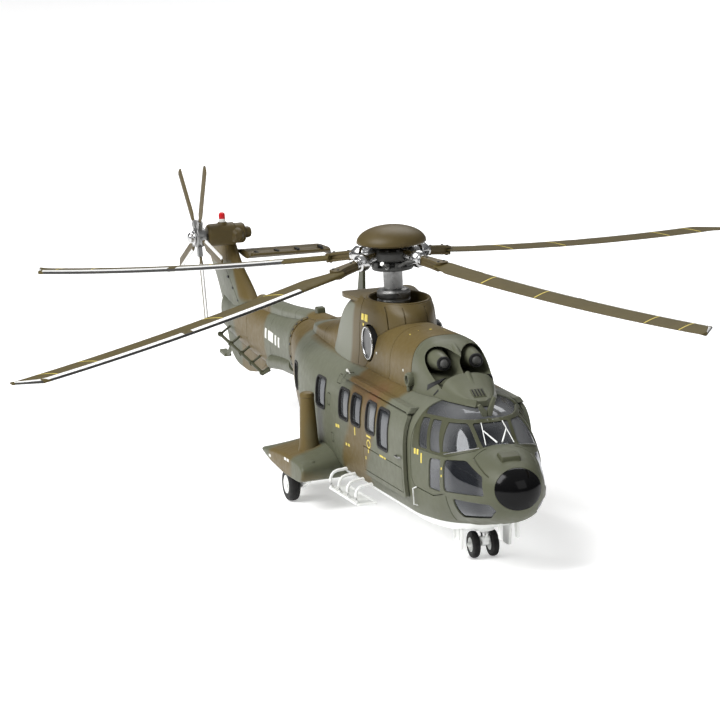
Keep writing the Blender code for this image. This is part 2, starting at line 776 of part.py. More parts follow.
def keel(grow):
    """Shallow fin under the boom."""
    outline = [(-100 + grow, 21.0), (-104 + grow, 15.6 - grow), (-110, 13.0 - grow),
               (-119, 11.7 - grow), (-129, 12.2 - grow), (-134.5 - grow, 14.4 - grow), (-138 - grow, 21.5)]
    return slab("keel", outline, -1.2 - grow, 1.2 + grow)


def joint_ring(grow):
    """Raised band where the boom is bolted to the cabin."""
    return loft("ring", [superellipse(x, 7.15 + grow, 19.5 - grow, 34.5 + grow, 22, 2.6)
                         for x in (-60.9 + grow, -63.2 - grow)])


def tail_boom():
    """Boom with its joint ring, keel and the side tube low on the starboard side."""
    boom = boom_solid()
    tube = rod("tube", [(-66.0, -4.6, 22.4), (-90.0, -3.9, 19.3)], 1.7, sides=12)
    join(boom, tube)
    join(boom, joint_ring(0))
    join(boom, keel(0))
    return boom


def spine_cover():
    """Long cover over the tail drive shaft, on top of the boom."""
    rows = [(-48.0, 2.6, 36.2), (-62.0, 2.5, 35.6), (-84.0, 2.2, 33.7), (-108.0, 1.8, 32.5)]
    rings = []
    for x, half_width, top in rows:
        ring = [Vector((x, half_width, top - 4.8)), Vector((x, -half_width, top - 4.8))]
        for i in range(9):
            angle = math.pi * i / 8
            ring.append(Vector((x, -half_width * math.cos(angle), top - 1.6 + 1.6 * math.sin(angle))))
        rings.append(ring)
    cover = loft("spine_cover", rings, "green")
    cut(cover, boom_solid(GAP))
    cut(cover, joint_ring(GAP))
    cut(cover, hull_solid(GAP))
    cut(cover, cowling_solid(GAP))
    cut(cover, fin_solid(GAP))
    return cover


def fin_solid(grow=0.0):
    levels = [(25.0, -110.0, -141.6, 2.5), (31.0, -116.8, -147.0, 2.2), (37.0, -127.6, -152.8, 1.9),
              (42.4, -133.4, -152.0, 1.6)]
    rings = []
    for z, front, rear, half_width in levels:
        front, rear, half_width = front + grow, rear - grow, half_width + grow
        length = front - rear
        shape = [(0.0, 0.15), (0.05, 0.7), (0.25, 1.0), (0.6, 0.8), (1.0, 0.16)]
        port = [Vector((front - s * length, half_width * w, z)) for s, w in shape]
        starboard = [Vector((p.x, -p.y, z)) for p in reversed(port)]
        rings.append(port + starboard)
    return loft("tail_fin", rings, "green")


def tail_fin():
    fin = fin_solid()
    cut(fin, boom_solid(GAP))
    return fin


GEARBOX_Z = 44.4


def gearbox_solid(grow=0.0):
    """Drum over the fin tip that drives to starboard, its end block and a small horn to port."""
    rows = [(-136.0, 0.8, 43.4, 45.0), (-134.0, 1.6, 42.4, 45.8), (-130.0, 2.0, 42.0, 46.4),
            (-127.4, 1.6, 42.4, 45.8), (-126.4, 0.8, 43.4, 45.0)]
    pod = loft("tail_gearbox_cover",
               [superellipse(x, w + grow, low - grow, high + grow, 14, 2.3)
                for x, w, low, high in rows], "brown")
    drive = rod("boss", [(TAIL_HUB.x, 0, GEARBOX_Z), (TAIL_HUB.x, -7.2 - grow, GEARBOX_Z)],
                2.8 + grow, sides=18)
    join(pod, drive)
    block = rod("block", [(TAIL_HUB.x, -0.5, GEARBOX_Z), (TAIL_HUB.x, 2.4 + grow, GEARBOX_Z)],
                2.5 + grow, sides=18)
    join(pod, block)
    horn = rod("horn", [(TAIL_HUB.x, 0, GEARBOX_Z),
                        (TAIL_HUB.x, 4.1 + grow, GEARBOX_Z)], 1.45 + grow, sides=14)
    join(pod, horn)
    return pod


def tail_gearbox_cover():
    cover = gearbox_solid()
    cut(cover, fin_solid(GAP))
    cut(cover, turned("bore", [(0.7 + GAP, -3.3), (0.7 + GAP, 6)], origin=TAIL_HUB, axis="Y"))
    return cover


def tail_rotor():
    """Five blades, their hub and the drive shaft."""
    centre = TAIL_HUB
    rotor = turned("tail_rotor", [(0.7, 4.6), (0.7, 1.5), (2.3, 1.4), (2.5, 0.7), (2.5, -0.7),
                                  (2.0, -1.0)], "dark_grey", origin=centre, axis="Y", sides=20)
    phase = math.radians(63.4)
    for k in range(5):
        angle = phase + 2 * math.pi * k / 5
        outline = [(1.8, -0.6), (5.5, -0.7), (6.6, -1.5), (TAIL_ROTOR_RADIUS - 0.7, -1.5),
                   (TAIL_ROTOR_RADIUS, -0.9), (TAIL_ROTOR_RADIUS, 0.9), (TAIL_ROTOR_RADIUS - 0.5, 1.3),
                   (6.6, 1.3), (5.5, 0.7), (1.8, 0.6)]
        blade = slab("blade", [(centre.x + u * math.cos(angle) - v * math.sin(angle),
                                centre.z + u * math.sin(angle) + v * math.cos(angle))
                               for u, v in outline], centre.y - 0.35, centre.y + 0.35)
        join(rotor, blade, "MANIFOLD")
    return rotor


def tail_rotor_cap():
    profile = [(1.9, -1.0 - GAP), (1.9, -1.9), (1.4, -2.5), (0.4, -2.8)]
    return turned("tail_rotor_cap", profile, "steel", origin=TAIL_HUB, axis="Y", sides=20)


def beacon():
    """Red lamp with its white foot, on top of the drive boss."""
    profile = [(1.7, 46.0), (1.5, 47.4), (0.9, 47.6), (0.9, 48.4), (0.8, 48.5), (0.8, 49.3),
               (0.5, 49.8), (0.15, 49.9)]
    lamp = turned("beacon", profile, "red", origin=(TAIL_HUB.x, -3.1, 0), sides=16)
    cut(lamp, gearbox_solid(GAP))
    return lamp


STABILISER_Z = 39.2


def stabiliser():
    """Tailplane on the port side of the fin."""
    rows = [(1.0, -136.0, -123.0, 0.9), (21.8, -135.4, -123.8, 0.8), (23.6, -134.2, -125.0, 0.5)]
    section = [(0, 0), (0.12, 0.8), (0.4, 1), (1, 0.15), (1, -0.15), (0.4, -1), (0.12, -0.8)]
    rings = []
    for y, rear, front, half in rows:
        length = front - rear
        rings.append([Vector((front - s * length, y, STABILISER_Z + t * half)) for s, t in section])
    wing = loft("stabiliser", rings, "brown")
    cut(wing, fin_solid(GAP))
    return wing


def tail_rail():
    """Aerial rail held off the starboard side of the boom by three posts."""
    start, end = Vector((-93.2, -5.0, 15.8)), Vector((-130.5, -5.0, 19.6))
    rail = rod("tail_rail", [start, end], 0.4, "dark_grey", sides=8)
    for share in (0.02, 0.48, 0.98):
        foot = start.lerp(end, share)
        join(rail, rod("post", [foot, Vector((foot.x, -1.0, foot.z + 2.2))], 0.35, sides=6))
    cut(rail, boom_solid(GAP))
    return rail


def tail_skid():
    """Sprung hook under the end of the boom."""
    path = [(-132.0, 0, 16.8), (-138.3, 0, 14.6), (-141.5, 0, 12.3), (-143.4, 0, 11.7),
            (-146.2, 0, 12.3)]
    skid = rod("tail_skid", path, 0.55, "green", sides=8)
    cut(skid, boom_solid(GAP))
    cut(skid, keel(GAP))
    return skid


# ---- undercarriage --------------------------------------------------------------------------
TYRE_MAIN = (3.9, 2.6)
TYRE_NOSE = (3.0, 1.7)
STRUT_X = -15.5
STRUT_Y = 17.0


# section (x, z) of the stub wing where it meets the cabin and at its flat tip
SPONSON_ROOT = [(-5.4, 9.6), (-5.9, 11.6), (-8.0, 13.4), (-13.0, 14.5), (-22.0, 14.2), (-34.0, 11.8),
                (-37.4, 10.2), (-30.0, 7.4), (-18.0, 6.3), (-9.0, 6.5), (-6.2, 7.6)]
SPONSON_TIP = [(-3.0, 9.0), (-3.5, 10.4), (-5.4, 11.3), (-11.0, 11.6), (-21.0, 11.4), (-33.0, 10.4),
               (-37.4, 9.7), (-30.0, 7.8), (-18.0, 6.6), (-7.0, 6.7), (-4.0, 7.5)]
SPONSON_TIP_Y = 22.6


def sponson(name, side):
    """Stub wing with the upright shock-strut housing and the wheel well."""
    rings = []
    for y, share, inset in ((9.0, -0.3, 0), (SPONSON_TIP_Y - 0.7, 1.0, 0), (SPONSON_TIP_Y, 1.0, 0.5)):
        ring = []
        for root, tip in zip(SPONSON_ROOT, SPONSON_TIP):
            x = root[0] + (tip[0] - root[0]) * share
            z = root[1] + (tip[1] - root[1]) * share
            x += math.copysign(inset, -20.0 - x)
            z += math.copysign(inset, 9.1 - z)
            ring.append(Vector((x, side * y, z)))
        rings.append(ring)
    body = loft(name, rings, "green")
    profile = [(2.7, 11.0), (2.2, 14.0), (1.9, 20.0), (1.6, 25.0), (1.3, 25.7), (0.2, 25.9)]
    strut = turned("strut", profile, origin=(STRUT_X, side * STRUT_Y, 0), sides=18)
    join(body, strut)
    cut(body, hull_solid(GAP))
    radius, width = TYRE_MAIN
    low, high = sorted((side * (MAIN_AXLE.y - width / 2 - 2.0), side * (MAIN_AXLE.y + width / 2 + 0.5)))
    well = rod("well", [(MAIN_AXLE.x, low, MAIN_AXLE.z), (MAIN_AXLE.x, high, MAIN_AXLE.z)],
               radius + 0.6, sides=22)
    cut(body, well)
    slot = box("slot", (-19.0, side * (MAIN_AXLE.y - width / 2 - 2.0), 5.0),
               (-11.4, side * (MAIN_AXLE.y - width / 2 - 0.1), 7.4))
    cut(body, slot)
    return body


def tyre(name, centre, size):
    """A tyre with rounded shoulders and a bore for its rim."""
    radius, width = size
    half = width / 2
    bore = radius * 0.56
    profile = [(bore, -half), (radius - 0.55, -half), (radius - 0.12, -half + 0.4),
               (radius, -half * 0.3), (radius, half * 0.3), (radius - 0.12, half - 0.4), (radius - 0.55, half), (bore, half)]
    return turned(name, profile, "rubber", origin=centre, axis="Y", sides=22, bored=True)


def rim(name, centre, size, axle_radius):
    radius, width = size
    half = width / 2
    outer = radius * 0.56 - GAP
    profile = [(axle_radius + GAP, -half + 0.1), (outer, -half + 0.1), (outer, half - 0.1),
               (outer - 0.3, half - 0.1), (outer - 0.5, half - 0.4), (axle_radius + GAP, half - 0.4)]
    return turned(name, profile, "white", origin=centre, axis="Y", sides=16, bored=True)


def main_leg(name, side):
    """Trailing arm inboard of the wheel, with the axle."""
    axle = Vector((MAIN_AXLE.x, side * MAIN_AXLE.y, MAIN_AXLE.z))
    inner = side * (MAIN_AXLE.y - TYRE_MAIN[1] / 2 - 1.5)
    outer = side * (MAIN_AXLE.y - TYRE_MAIN[1] / 2 - 0.4)
    outline = [(-21.6, 2.9), (-19.2, 2.9), (-13.6, 5.0), (-12.4, 6.4), (-14.0, 6.6), (-21.6, 5.2)]
    leg = slab(name, outline, inner, outer, "white")
    pin = rod("pin", [(axle.x, (inner + outer) / 2, axle.z),
                      (axle.x, side * (MAIN_AXLE.y + TYRE_MAIN[1] / 2 + 0.2), axle.z)], 0.7, sides=12)
    join(leg, pin)
    return leg


def nose_leg():
    """Swivelling nose leg: strut in the belly socket, fork yoke and twin-wheel axle."""
    origin = (NOSE_SWIVEL_X, 0, NOSE_AXLE.z)
    leg = turned("nose_leg", [(1.1, 0.6), (1.1, 2.2), (1.1, 6.0)], "white", origin=origin, sides=16)
    arm = slab("arm", [(NOSE_AXLE.x - 0.9, 2.2), (NOSE_SWIVEL_X + 0.9, 3.2), (NOSE_SWIVEL_X + 0.9, 4.4),
                       (NOSE_AXLE.x - 0.9, 4.0)], -0.8, 0.8)
    join(leg, arm)
    half = 3.5
    ends = [(NOSE_AXLE.x, -half, NOSE_AXLE.z), (NOSE_AXLE.x, half, NOSE_AXLE.z)]
    pin = rod("pin", ends, 0.55, sides=12)
    join(leg, pin)
    return leg


def boarding_step(name, side):
    """Door step on four hooked struts."""
    low, high = sorted((side * 12.0, side * 16.8))
    step = box(name, (-2.0, low, 5.8), (19.5, high, 6.3), "white")
    for x in (-1.0, 5.4, 11.8, 18.2):
        path = [(x, side * 16.2, 6.1), (x, side * 16.6, 7.6), (x, side * 16.3, 9.0),
                (x, side * 15.2, 9.9), (x, side * 13.4, 10.2)]
        join(step, rod("strut", path, 0.32, sides=6))
    return step


def nose_aerial(name, side):
    """Small blade aerial under the nose."""
    outline = [(74.2, 12.6), (76.8, 12.6), (76.4, 7.6), (74.9, 7.6)]
    aerial = slab(name, outline, side * 1.6, side * 2.2, "white")
    cut(aerial, hull_solid(GAP))
    return aerial


# ---- assembly -----------------------------------------------------------------------------------
def build():
    for thing in list(bpy.data.objects):
        bpy.data.objects.remove(thing)

    cabin_shell()
    belly_pan()
    clear_piece("cockpit_canopy", canopy_region(0))
    radome()
    cabin_floor()
    cockpit_interior()
    engine_cowling()
    intake_fairing()
    mast_fairing()
    rear_antenna()
    wire_cutter()
    for label, side in SIDES.items():
        nose_windows("nose_windows_" + label, side)
        cabin_windows("cabin_windows_" + label, side)
        sliding_door("sliding_door_" + label, side)
        door_windows("door_windows_" + label, side)
        door_rail("door_rail_" + label, side)
        intake_bullet("intake_bullet_" + label, side)
        exhaust("exhaust_" + label, side)
        sponson("sponson_" + label, side)
        axle = Vector((MAIN_AXLE.x, side * MAIN_AXLE.y, MAIN_AXLE.z))
        main_leg("main_leg_" + label, side)
        tyre("main_tyre_" + label, axle, TYRE_MAIN)
        rim("main_rim_" + label, axle, TYRE_MAIN, 0.7)
        axle = Vector((NOSE_AXLE.x, side * 2.15, NOSE_AXLE.z))
        tyre("nose_tyre_" + label, axle, TYRE_NOSE)
        rim("nose_rim_" + label, axle, TYRE_NOSE, 0.55)
        boarding_step("boarding_step_" + label, side)
        nose_aerial("nose_aerial_" + label, side)

    rotor_mast()
    swashplate()
    rotor_hub()
    hub_dome()
    for index, label in enumerate(("nose_port", "port", "aft", "starboard")):
        rotor_blade("rotor_blade_" + label, index)

    tail_boom()
    spine_cover()
    tail_fin()
    tail_gearbox_cover()
    tail_rotor()
    tail_rotor_cap()
    beacon()
    stabiliser()
    tail_rail()
    tail_skid()
    nose_leg()

    root = bpy.data.objects.new("helicopter_model", None)
    bpy.context.scene.collection.objects.link(root)
    for thing in list(bpy.context.scene.objects):
        if thing is not root:
            tidy_mesh(thing.data)
            thing.data.shade_smooth()
            thing.data.set_sharp_from_angle(angle=math.radians(30))
            thing.parent = root
    root.location.z = -BELLY_Z * MM
    bpy.context.view_layer.update()


build()
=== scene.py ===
"""Looks of the helicopter scale model.

Works in the CAD part's own figures: millimetres from the rotor axis (x towards the nose, y to
port) and from the ground under the tyres (z).  Each visible piece is rebuilt here with a fine
surface from the same driving sizes, and rides on its CAD body.
"""

import math

import bmesh
import bpy
from mathutils import Matrix, Vector


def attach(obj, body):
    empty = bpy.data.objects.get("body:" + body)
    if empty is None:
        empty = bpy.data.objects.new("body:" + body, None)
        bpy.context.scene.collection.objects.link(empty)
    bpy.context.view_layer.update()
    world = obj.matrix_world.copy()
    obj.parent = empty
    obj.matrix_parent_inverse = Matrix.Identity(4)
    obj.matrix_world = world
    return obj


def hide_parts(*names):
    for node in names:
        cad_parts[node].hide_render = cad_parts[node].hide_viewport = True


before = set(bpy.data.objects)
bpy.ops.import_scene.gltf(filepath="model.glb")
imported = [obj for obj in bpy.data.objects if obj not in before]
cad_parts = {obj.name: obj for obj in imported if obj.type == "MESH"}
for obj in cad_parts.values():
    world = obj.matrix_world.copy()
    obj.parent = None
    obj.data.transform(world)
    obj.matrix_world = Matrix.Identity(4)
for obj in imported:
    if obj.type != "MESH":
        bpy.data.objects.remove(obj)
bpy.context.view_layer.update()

MM = 0.001
GROUND_Z = -0.006           # world height of the ground; the origin is the pad under the belly
SIDES = {"starboard": -1, "port": 1}

# ---- driving sizes, as in the CAD part ------------------------------------------------------
ROTOR_RADIUS = 108.4
TAIL_ROTOR_RADIUS = 20.8
BELLY_Z = 6.0
ROOF_Z = 35.2
NOSE_X = 85.5
HUB_Z = 59.2
TAIL_HUB = Vector((-130.0, -9.3, 44.2))
MAIN_AXLE = Vector((-20.3, 20.3, 3.9))
NOSE_AXLE = Vector((57.3, 2.15, 3.0))
NOSE_SWIVEL_X = 58.6

# x, half width, lowest z, highest z, squareness of the roof and of the underside
HULL = [
    (-60.0, 7.3, 20.2, 34.4, 2.6, 2.8),
    (-46.0, 10.8, 14.4, 35.0, 3.0, 3.4),
    (-32.0, 13.3, 8.4, 35.2, 3.2, 3.4),
    (-22.0, 14.0, BELLY_Z, ROOF_Z, 3.2, 3.4),
    (48.0, 14.0, BELLY_Z, ROOF_Z, 3.2, 3.4),
    (57.0, 12.8, 6.3, 34.8, 2.5, 3.2),
    (62.0, 12.0, 7.4, 33.8, 2.3, 2.9),
    (66.5, 11.1, 9.1, 31.5, 2.2, 2.6),
    (71.0, 10.1, 10.0, 27.8, 2.3, 2.5),
    (76.0, 8.7, 11.0, 26.4, 2.3, 2.4),
    (81.0, 6.7, 12.9, 24.9, 2.2, 2.2),
    (84.2, 4.2, 15.4, 23.0, 2.1, 2.1),
    (NOSE_X, 1.6, 17.6, 20.6, 2.0, 2.0),
]
BOOM = [(-60.5, 6.9, 19.8, 34.2), (-66.0, 6.1, 18.8, 33.4), (-80.0, 4.9, 17.4, 31.8),
        (-100.0, 3.8, 16.8, 30.4), (-122.0, 2.9, 17.8, 29.4), (-138.0, 2.2, 19.6, 28.2)]
# x, half width, top and roundness (1 is an ellipse)
COWLING = [(-52.0, 3.0, 35.5, 0.85), (-44.0, 6.0, 36.6, 0.85), (-30.0, 7.5, 39.0, 0.85),
           (-18.0, 8.0, 42.2, 0.85), (5.0, 8.3, 44.8, 0.85), (24.0, 8.2, 45.6, 0.8),
           (36.0, 8.0, 45.8, 0.7)]
INTAKE_FAIRING = [(36.2, 8.0, 45.8, 0.7), (40.0, 7.9, 45.5, 0.66), (43.5, 7.6, 44.2, 0.66),
                  (47.5, 7.0, 42.0, 0.74), (52.0, 6.0, 39.6, 0.82), (56.0, 4.6, 37.6, 0.85),
                  (59.6, 2.8, 36.0, 0.85), (61.2, 1.2, 35.2, 0.85)]
BLADE_REST = [(-5.0, 5.6), (1.5, 8.0), (8.6, 8.7), (-2.0, 9.4)]
BLADE_UPTURN = 4.3
FIRST_BLADE_AZIMUTH = 26.5
CHORD = 6.9
CUFF_END = 11.2

DOOR = (19.5, 49.5, 13.0, 31.4)
DOOR_OPENING = (21.2, 47.8, 14.6, 30.6)
DOOR_WINDOWS = [(22.6, 29.2, 23.4, 30.2), (31.2, 38.8, 21.4, 30.2)]
CABIN_WINDOWS = [(8.6, 15.4, 22.6, 29.4), (-0.6, 6.2, 22.4, 29.2), (-18.4, -11.6, 22.2, 29.0),
                 (-43.4, -38.0, 22.0, 28.0)]
# side outlines (x, z) of the lower cockpit windows: crew door, quarter light and chin
NOSE_WINDOWS = [
    [(59.2, 17.0), (64.3, 16.9), (64.7, 24.1), (60.0, 23.8)],
    [(65.8, 17.3), (80.7, 18.5), (79.4, 22.4), (71.9, 24.8), (66.0, 24.3)],
    [(69.2, 16.3), (81.7, 16.8), (82.2, 15.4), (79.2, 13.3), (69.2, 12.0)],
]


# ---- building kit ---------------------------------------------------------------------------
def make(name, bm):
    """A mesh drawn in part millimetres becomes an object in world metres."""
    bmesh.ops.connect_verts_nonplanar(bm, angle_limit=0.002, faces=bm.faces)
    bmesh.ops.recalc_face_normals(bm, faces=bm.faces)
    for vertex in bm.verts:
        vertex.co = vertex.co * MM + Vector((0, 0, GROUND_Z))
    mesh = bpy.data.meshes.new(name)
    bm.to_mesh(mesh)
    bm.free()
    thing = bpy.data.objects.new(name, mesh)
    bpy.context.scene.collection.objects.link(thing)
    return thing


def loft(rings, name="loft", closed=False):
    """Skin a row of point rings; a closed row joins its last ring to its first."""
    bm = bmesh.new()
    loops = [[bm.verts.new(point) for point in ring] for ring in rings]
    pairs = list(zip(loops, loops[1:]))
    if closed:
        pairs.append((loops[-1], loops[0]))
    for near, far in pairs:
        for i in range(len(near)):
            j = (i + 1) % len(near)
            bm.faces.new((near[i], near[j], far[j], far[i]))
    if not closed:
        bm.faces.new(loops[0])
        bm.faces.new(loops[-1])
    return make(name, bm)


AXIS_TURN = {"Z": Matrix.Identity(3), "Y": Matrix.Rotation(-math.pi / 2, 3, "X"),
             "X": Matrix.Rotation(math.pi / 2, 3, "Y")}


def turned(profile, origin=(0, 0, 0), axis="Z", sides=64, closed=False, turn=None):
    """Turn (radius, height) points round an axis through `origin`."""
    spin = turn or AXIS_TURN[axis]
    rings = []
    for radius, height in profile:
        ring = []
        for i in range(sides):
            angle = 2 * math.pi * i / sides
            spoke = Vector((radius * math.cos(angle), radius * math.sin(angle), height))
            ring.append(Vector(origin) + spin @ spoke)
        rings.append(ring)
    return loft(rings, "turned", closed)


def prism(outline, low, high, plane="XZ", name="prism"):
    """Extrude a flat outline between two offsets across its plane."""
    rings = []
    for offset in (low, high):
        if plane == "XZ":
            rings.append([Vector((a, offset, b)) for a, b in outline])
        elif plane == "XY":
            rings.append([Vector((a, b, offset)) for a, b in outline])
        else:
            rings.append([Vector((offset, a, b)) for a, b in outline])
    return loft(rings, name)


def box(low, high):
    outline = [(low[0], low[1]), (high[0], low[1]), (high[0], high[1]), (low[0], high[1])]
    return prism(outline, low[2], high[2], "XY", "box")


def tube(path, radius, sides=16, closed=False):
    """A round bar along a row of points; `radius` may be a list with one value per point."""
    points = [Vector(point) for point in path]
    count = len(points)
    radii = radius if isinstance(radius, list) else [radius] * count
    rings = []
    for i, point in enumerate(points):
        if closed:
            along = points[(i + 1) % count] - points[i - 1]
        else:
            along = points[min(i + 1, count - 1)] - points[max(i - 1, 0)]
        turn = along.to_track_quat("Z", "Y")
        ring = []
        for k in range(sides):
            angle = 2 * math.pi * k / sides
            ring.append(point + turn @ Vector((radii[i] * math.cos(angle),
                                               radii[i] * math.sin(angle), 0)))
        rings.append(ring)
    return loft(rings, "tube", closed)


def rounded(outline, radius, steps=5):
    """Replace each corner of an outline by an arc."""
    points = []
    count = len(outline)
    for i in range(count):
        corner = Vector(outline[i])
        before = (Vector(outline[i - 1]) - corner)
        after = (Vector(outline[(i + 1) % count]) - corner)
        reach = min(radius, before.length * 0.45, after.length * 0.45)
        start = corner + before.normalized() * reach
        end = corner + after.normalized() * reach
        for step in range(steps + 1):
            t = step / steps
            spot = start * (1 - t) ** 2 + corner * 2 * t * (1 - t) + end * t * t
            points.append((spot.x, spot.y))
    return points


def grown(outline, amount):
    """Move every edge of a convex outline outward by `amount`."""
    count = len(outline)
    area = sum(outline[i - 1][0] * outline[i][1] - outline[i][0] * outline[i - 1][1]
               for i in range(count))
    hand = 1 if area > 0 else -1
    result = []
    for i in range(count):
        here = Vector(outline[i])
        first = (here - Vector(outline[i - 1])).normalized()
        second = (Vector(outline[(i + 1) % count]) - here).normalized()
        normals = [Vector((edge.y, -edge.x)) * hand for edge in (first, second)]
        middle = (normals[0] + normals[1]).normalized()
        result.append(tuple(here + middle * amount / max(middle.dot(normals[0]), 0.3)))
    return result


def rectangle(x0, x1, z0, z1):
    return [(x0, z0), (x1, z0), (x1, z1), (x0, z1)]


def combine(target, tool, operation):
    """Apply a Boolean to the target at once and drop the tool."""
    bpy.context.view_layer.update()
    modifier = target.modifiers.new(operation, "BOOLEAN")
    modifier.operation = operation
    modifier.solver = "MANIFOLD"
    modifier.object = tool
    graph = bpy.context.evaluated_depsgraph_get()
    mesh = bpy.data.meshes.new_from_object(target.evaluated_get(graph))
    target.modifiers.clear()
    target.data = mesh
    bpy.data.objects.remove(tool)
    return target


def cut(target, tool):
    return combine(target, tool, "DIFFERENCE")


def keep(target, tool):
    return combine(target, tool, "INTERSECT")


def union(things):
    """Join a list of closed solids into one."""
    first = things[0]
    for thing in things[1:]:
        combine(first, thing, "UNION")
    return first


def merge(name, things):
    """Put separate solids into one mesh without a Boolean."""
    bm = bmesh.new()
    for thing in things:
        bm.from_mesh(thing.data)
        bpy.data.objects.remove(thing)
    mesh = bpy.data.meshes.new(name)
    bm.to_mesh(mesh)
    bm.free()
    thing = bpy.data.objects.new(name, mesh)
    bpy.context.scene.collection.objects.link(thing)
    return thing


def place(thing, name, finish, body, nodes=(), bevel=0.0, angle=32):
    """Name a finished piece, paint it, smooth it and let it ride on its body."""
    thing.name = name
    thing.data.materials.clear()
    thing.data.materials.append(finish)
    for polygon in thing.data.polygons:
        polygon.material_index = 0
    if bevel:
        rounding = thing.modifiers.new("edges", "BEVEL")
        rounding.width = bevel * MM
        rounding.segments = 3
        rounding.limit_method = "ANGLE"
        rounding.angle_limit = math.radians(40)
    thing.data.shade_smooth()
    thing.data.set_sharp_from_angle(angle=math.radians(angle))
    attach(thing, body)
    if nodes:
        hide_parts(*nodes)


# ---- materials ------------------------------------------------------------------------------
GRAIN_SCALE = 9000.0        # fineness of the paint's grain
EDGE_ROUNDING = 0.12        # mm, for a soft highlight along every edge


class Tree:
    """Short way to wire a material's nodes."""

    def __init__(self, name):
        self.material = bpy.data.materials.new(name)
        self.material.use_nodes = True
        self.nodes = self.material.node_tree.nodes
        self.links = self.material.node_tree.links
        self.shader = self.nodes["Principled BSDF"]
        self.output = self.nodes["Material Output"]

    def plug(self, socket, value):
        if isinstance(value, bpy.types.NodeSocket):
            self.links.new(value, socket)
        else:
            socket.default_value = value

    def math(self, operation, first, second=0.0, clamp=False):
        node = self.nodes.new("ShaderNodeMath")
        node.operation = operation
        node.use_clamp = clamp
        self.plug(node.inputs[0], first)
        self.plug(node.inputs[1], second)
        return node.outputs[0]

    def step(self, value, edge, softness):
        """0 below the edge and 1 above it, with a soft change of `softness`."""
        offset = self.math("SUBTRACT", value, edge)
        return self.math("ADD", self.math("DIVIDE", offset, softness), 0.5, clamp=True)

    def band(self, value, low, high, softness):
        above = self.step(value, low, softness)
        below = self.math("SUBTRACT", 1.0, self.step(value, high, softness))
        return self.math("MULTIPLY", above, below)

    def both(self, *masks):
        result = masks[0]
        for mask in masks[1:]:
            result = self.math("MULTIPLY", result, mask)
        return result

    def either(self, *masks):
        result = masks[0]
        for mask in masks[1:]:
            result = self.math("MAXIMUM", result, mask)
        return result

    def noise(self, scale, detail=3.0):
        node = self.nodes.new("ShaderNodeTexNoise")
        node.inputs["Scale"].default_value = scale
        node.inputs["Detail"].default_value = detail
        self.links.new(self.where(), node.inputs["Vector"])
        return node.outputs["Fac"]

    def where(self):
        if not hasattr(self, "coordinates"):
            self.coordinates = self.nodes.new("ShaderNodeTexCoord").outputs["Object"]
        return self.coordinates

    def millimetres(self):
        """x, y and z in the part's millimetres, z from the ground."""
        split = self.nodes.new("ShaderNodeSeparateXYZ")
        self.links.new(self.where(), split.inputs[0])
        x = self.math("MULTIPLY", split.outputs[0], 1 / MM)
        y = self.math("MULTIPLY", split.outputs[1], 1 / MM)
        z = self.math("MULTIPLY", self.math("SUBTRACT", split.outputs[2], GROUND_Z), 1 / MM)
        return x, y, z

    def mix(self, share, first, second):
        node = self.nodes.new("ShaderNodeMix")
        node.data_type = "RGBA"
        self.plug(node.inputs["Factor"], share)
        self.plug(node.inputs["A"], first)
        self.plug(node.inputs["B"], second)
        return node.outputs["Result"]

    def spread(self, value, low, high, from_low=0.3, from_high=0.7):
        node = self.nodes.new("ShaderNodeMapRange")
        self.plug(node.inputs["Value"], value)
        node.inputs["From Min"].default_value = from_low
        node.inputs["From Max"].default_value = from_high
        node.inputs["To Min"].default_value = low
        node.inputs["To Max"].default_value = high
        return node.outputs["Result"]

    def surface(self, colour, roughness, metallic=0.0, grain=0.02, shine=0.2):
        """Finish the Principled shader with a fine grain and softly rounded edges."""
        self.plug(self.shader.inputs["Base Color"], colour)
        self.plug(self.shader.inputs["Roughness"], roughness)
        self.plug(self.shader.inputs["Metallic"], metallic)
        self.plug(self.shader.inputs["Specular IOR Level"], shine)
        rounding = self.nodes.new("ShaderNodeBevel")
        rounding.samples = 4
        rounding.inputs["Radius"].default_value = EDGE_ROUNDING * MM
        bump = self.nodes.new("ShaderNodeBump")
        bump.inputs["Strength"].default_value = 0.25
        bump.inputs["Distance"].default_value = grain * MM
        self.links.new(self.noise(GRAIN_SCALE, 2.0), bump.inputs["Height"])
        self.links.new(rounding.outputs["Normal"], bump.inputs["Normal"])
        self.links.new(bump.outputs["Normal"], self.shader.inputs["Normal"])
        return self.material


GREEN = (0.088, 0.092, 0.060, 1)
# a paler green; the camouflage paints it high up as painted light on the top, and the mast paint uses it for
# the rear wall
PALE_GREEN = (0.125, 0.130, 0.098, 1)
BROWN = (0.098, 0.070, 0.023, 1)
DARK_BROWN = (0.070, 0.051, 0.018, 1)
DARK_OLIVE = (0.052, 0.054, 0.030, 1)
RUST = (0.120, 0.055, 0.026, 1)


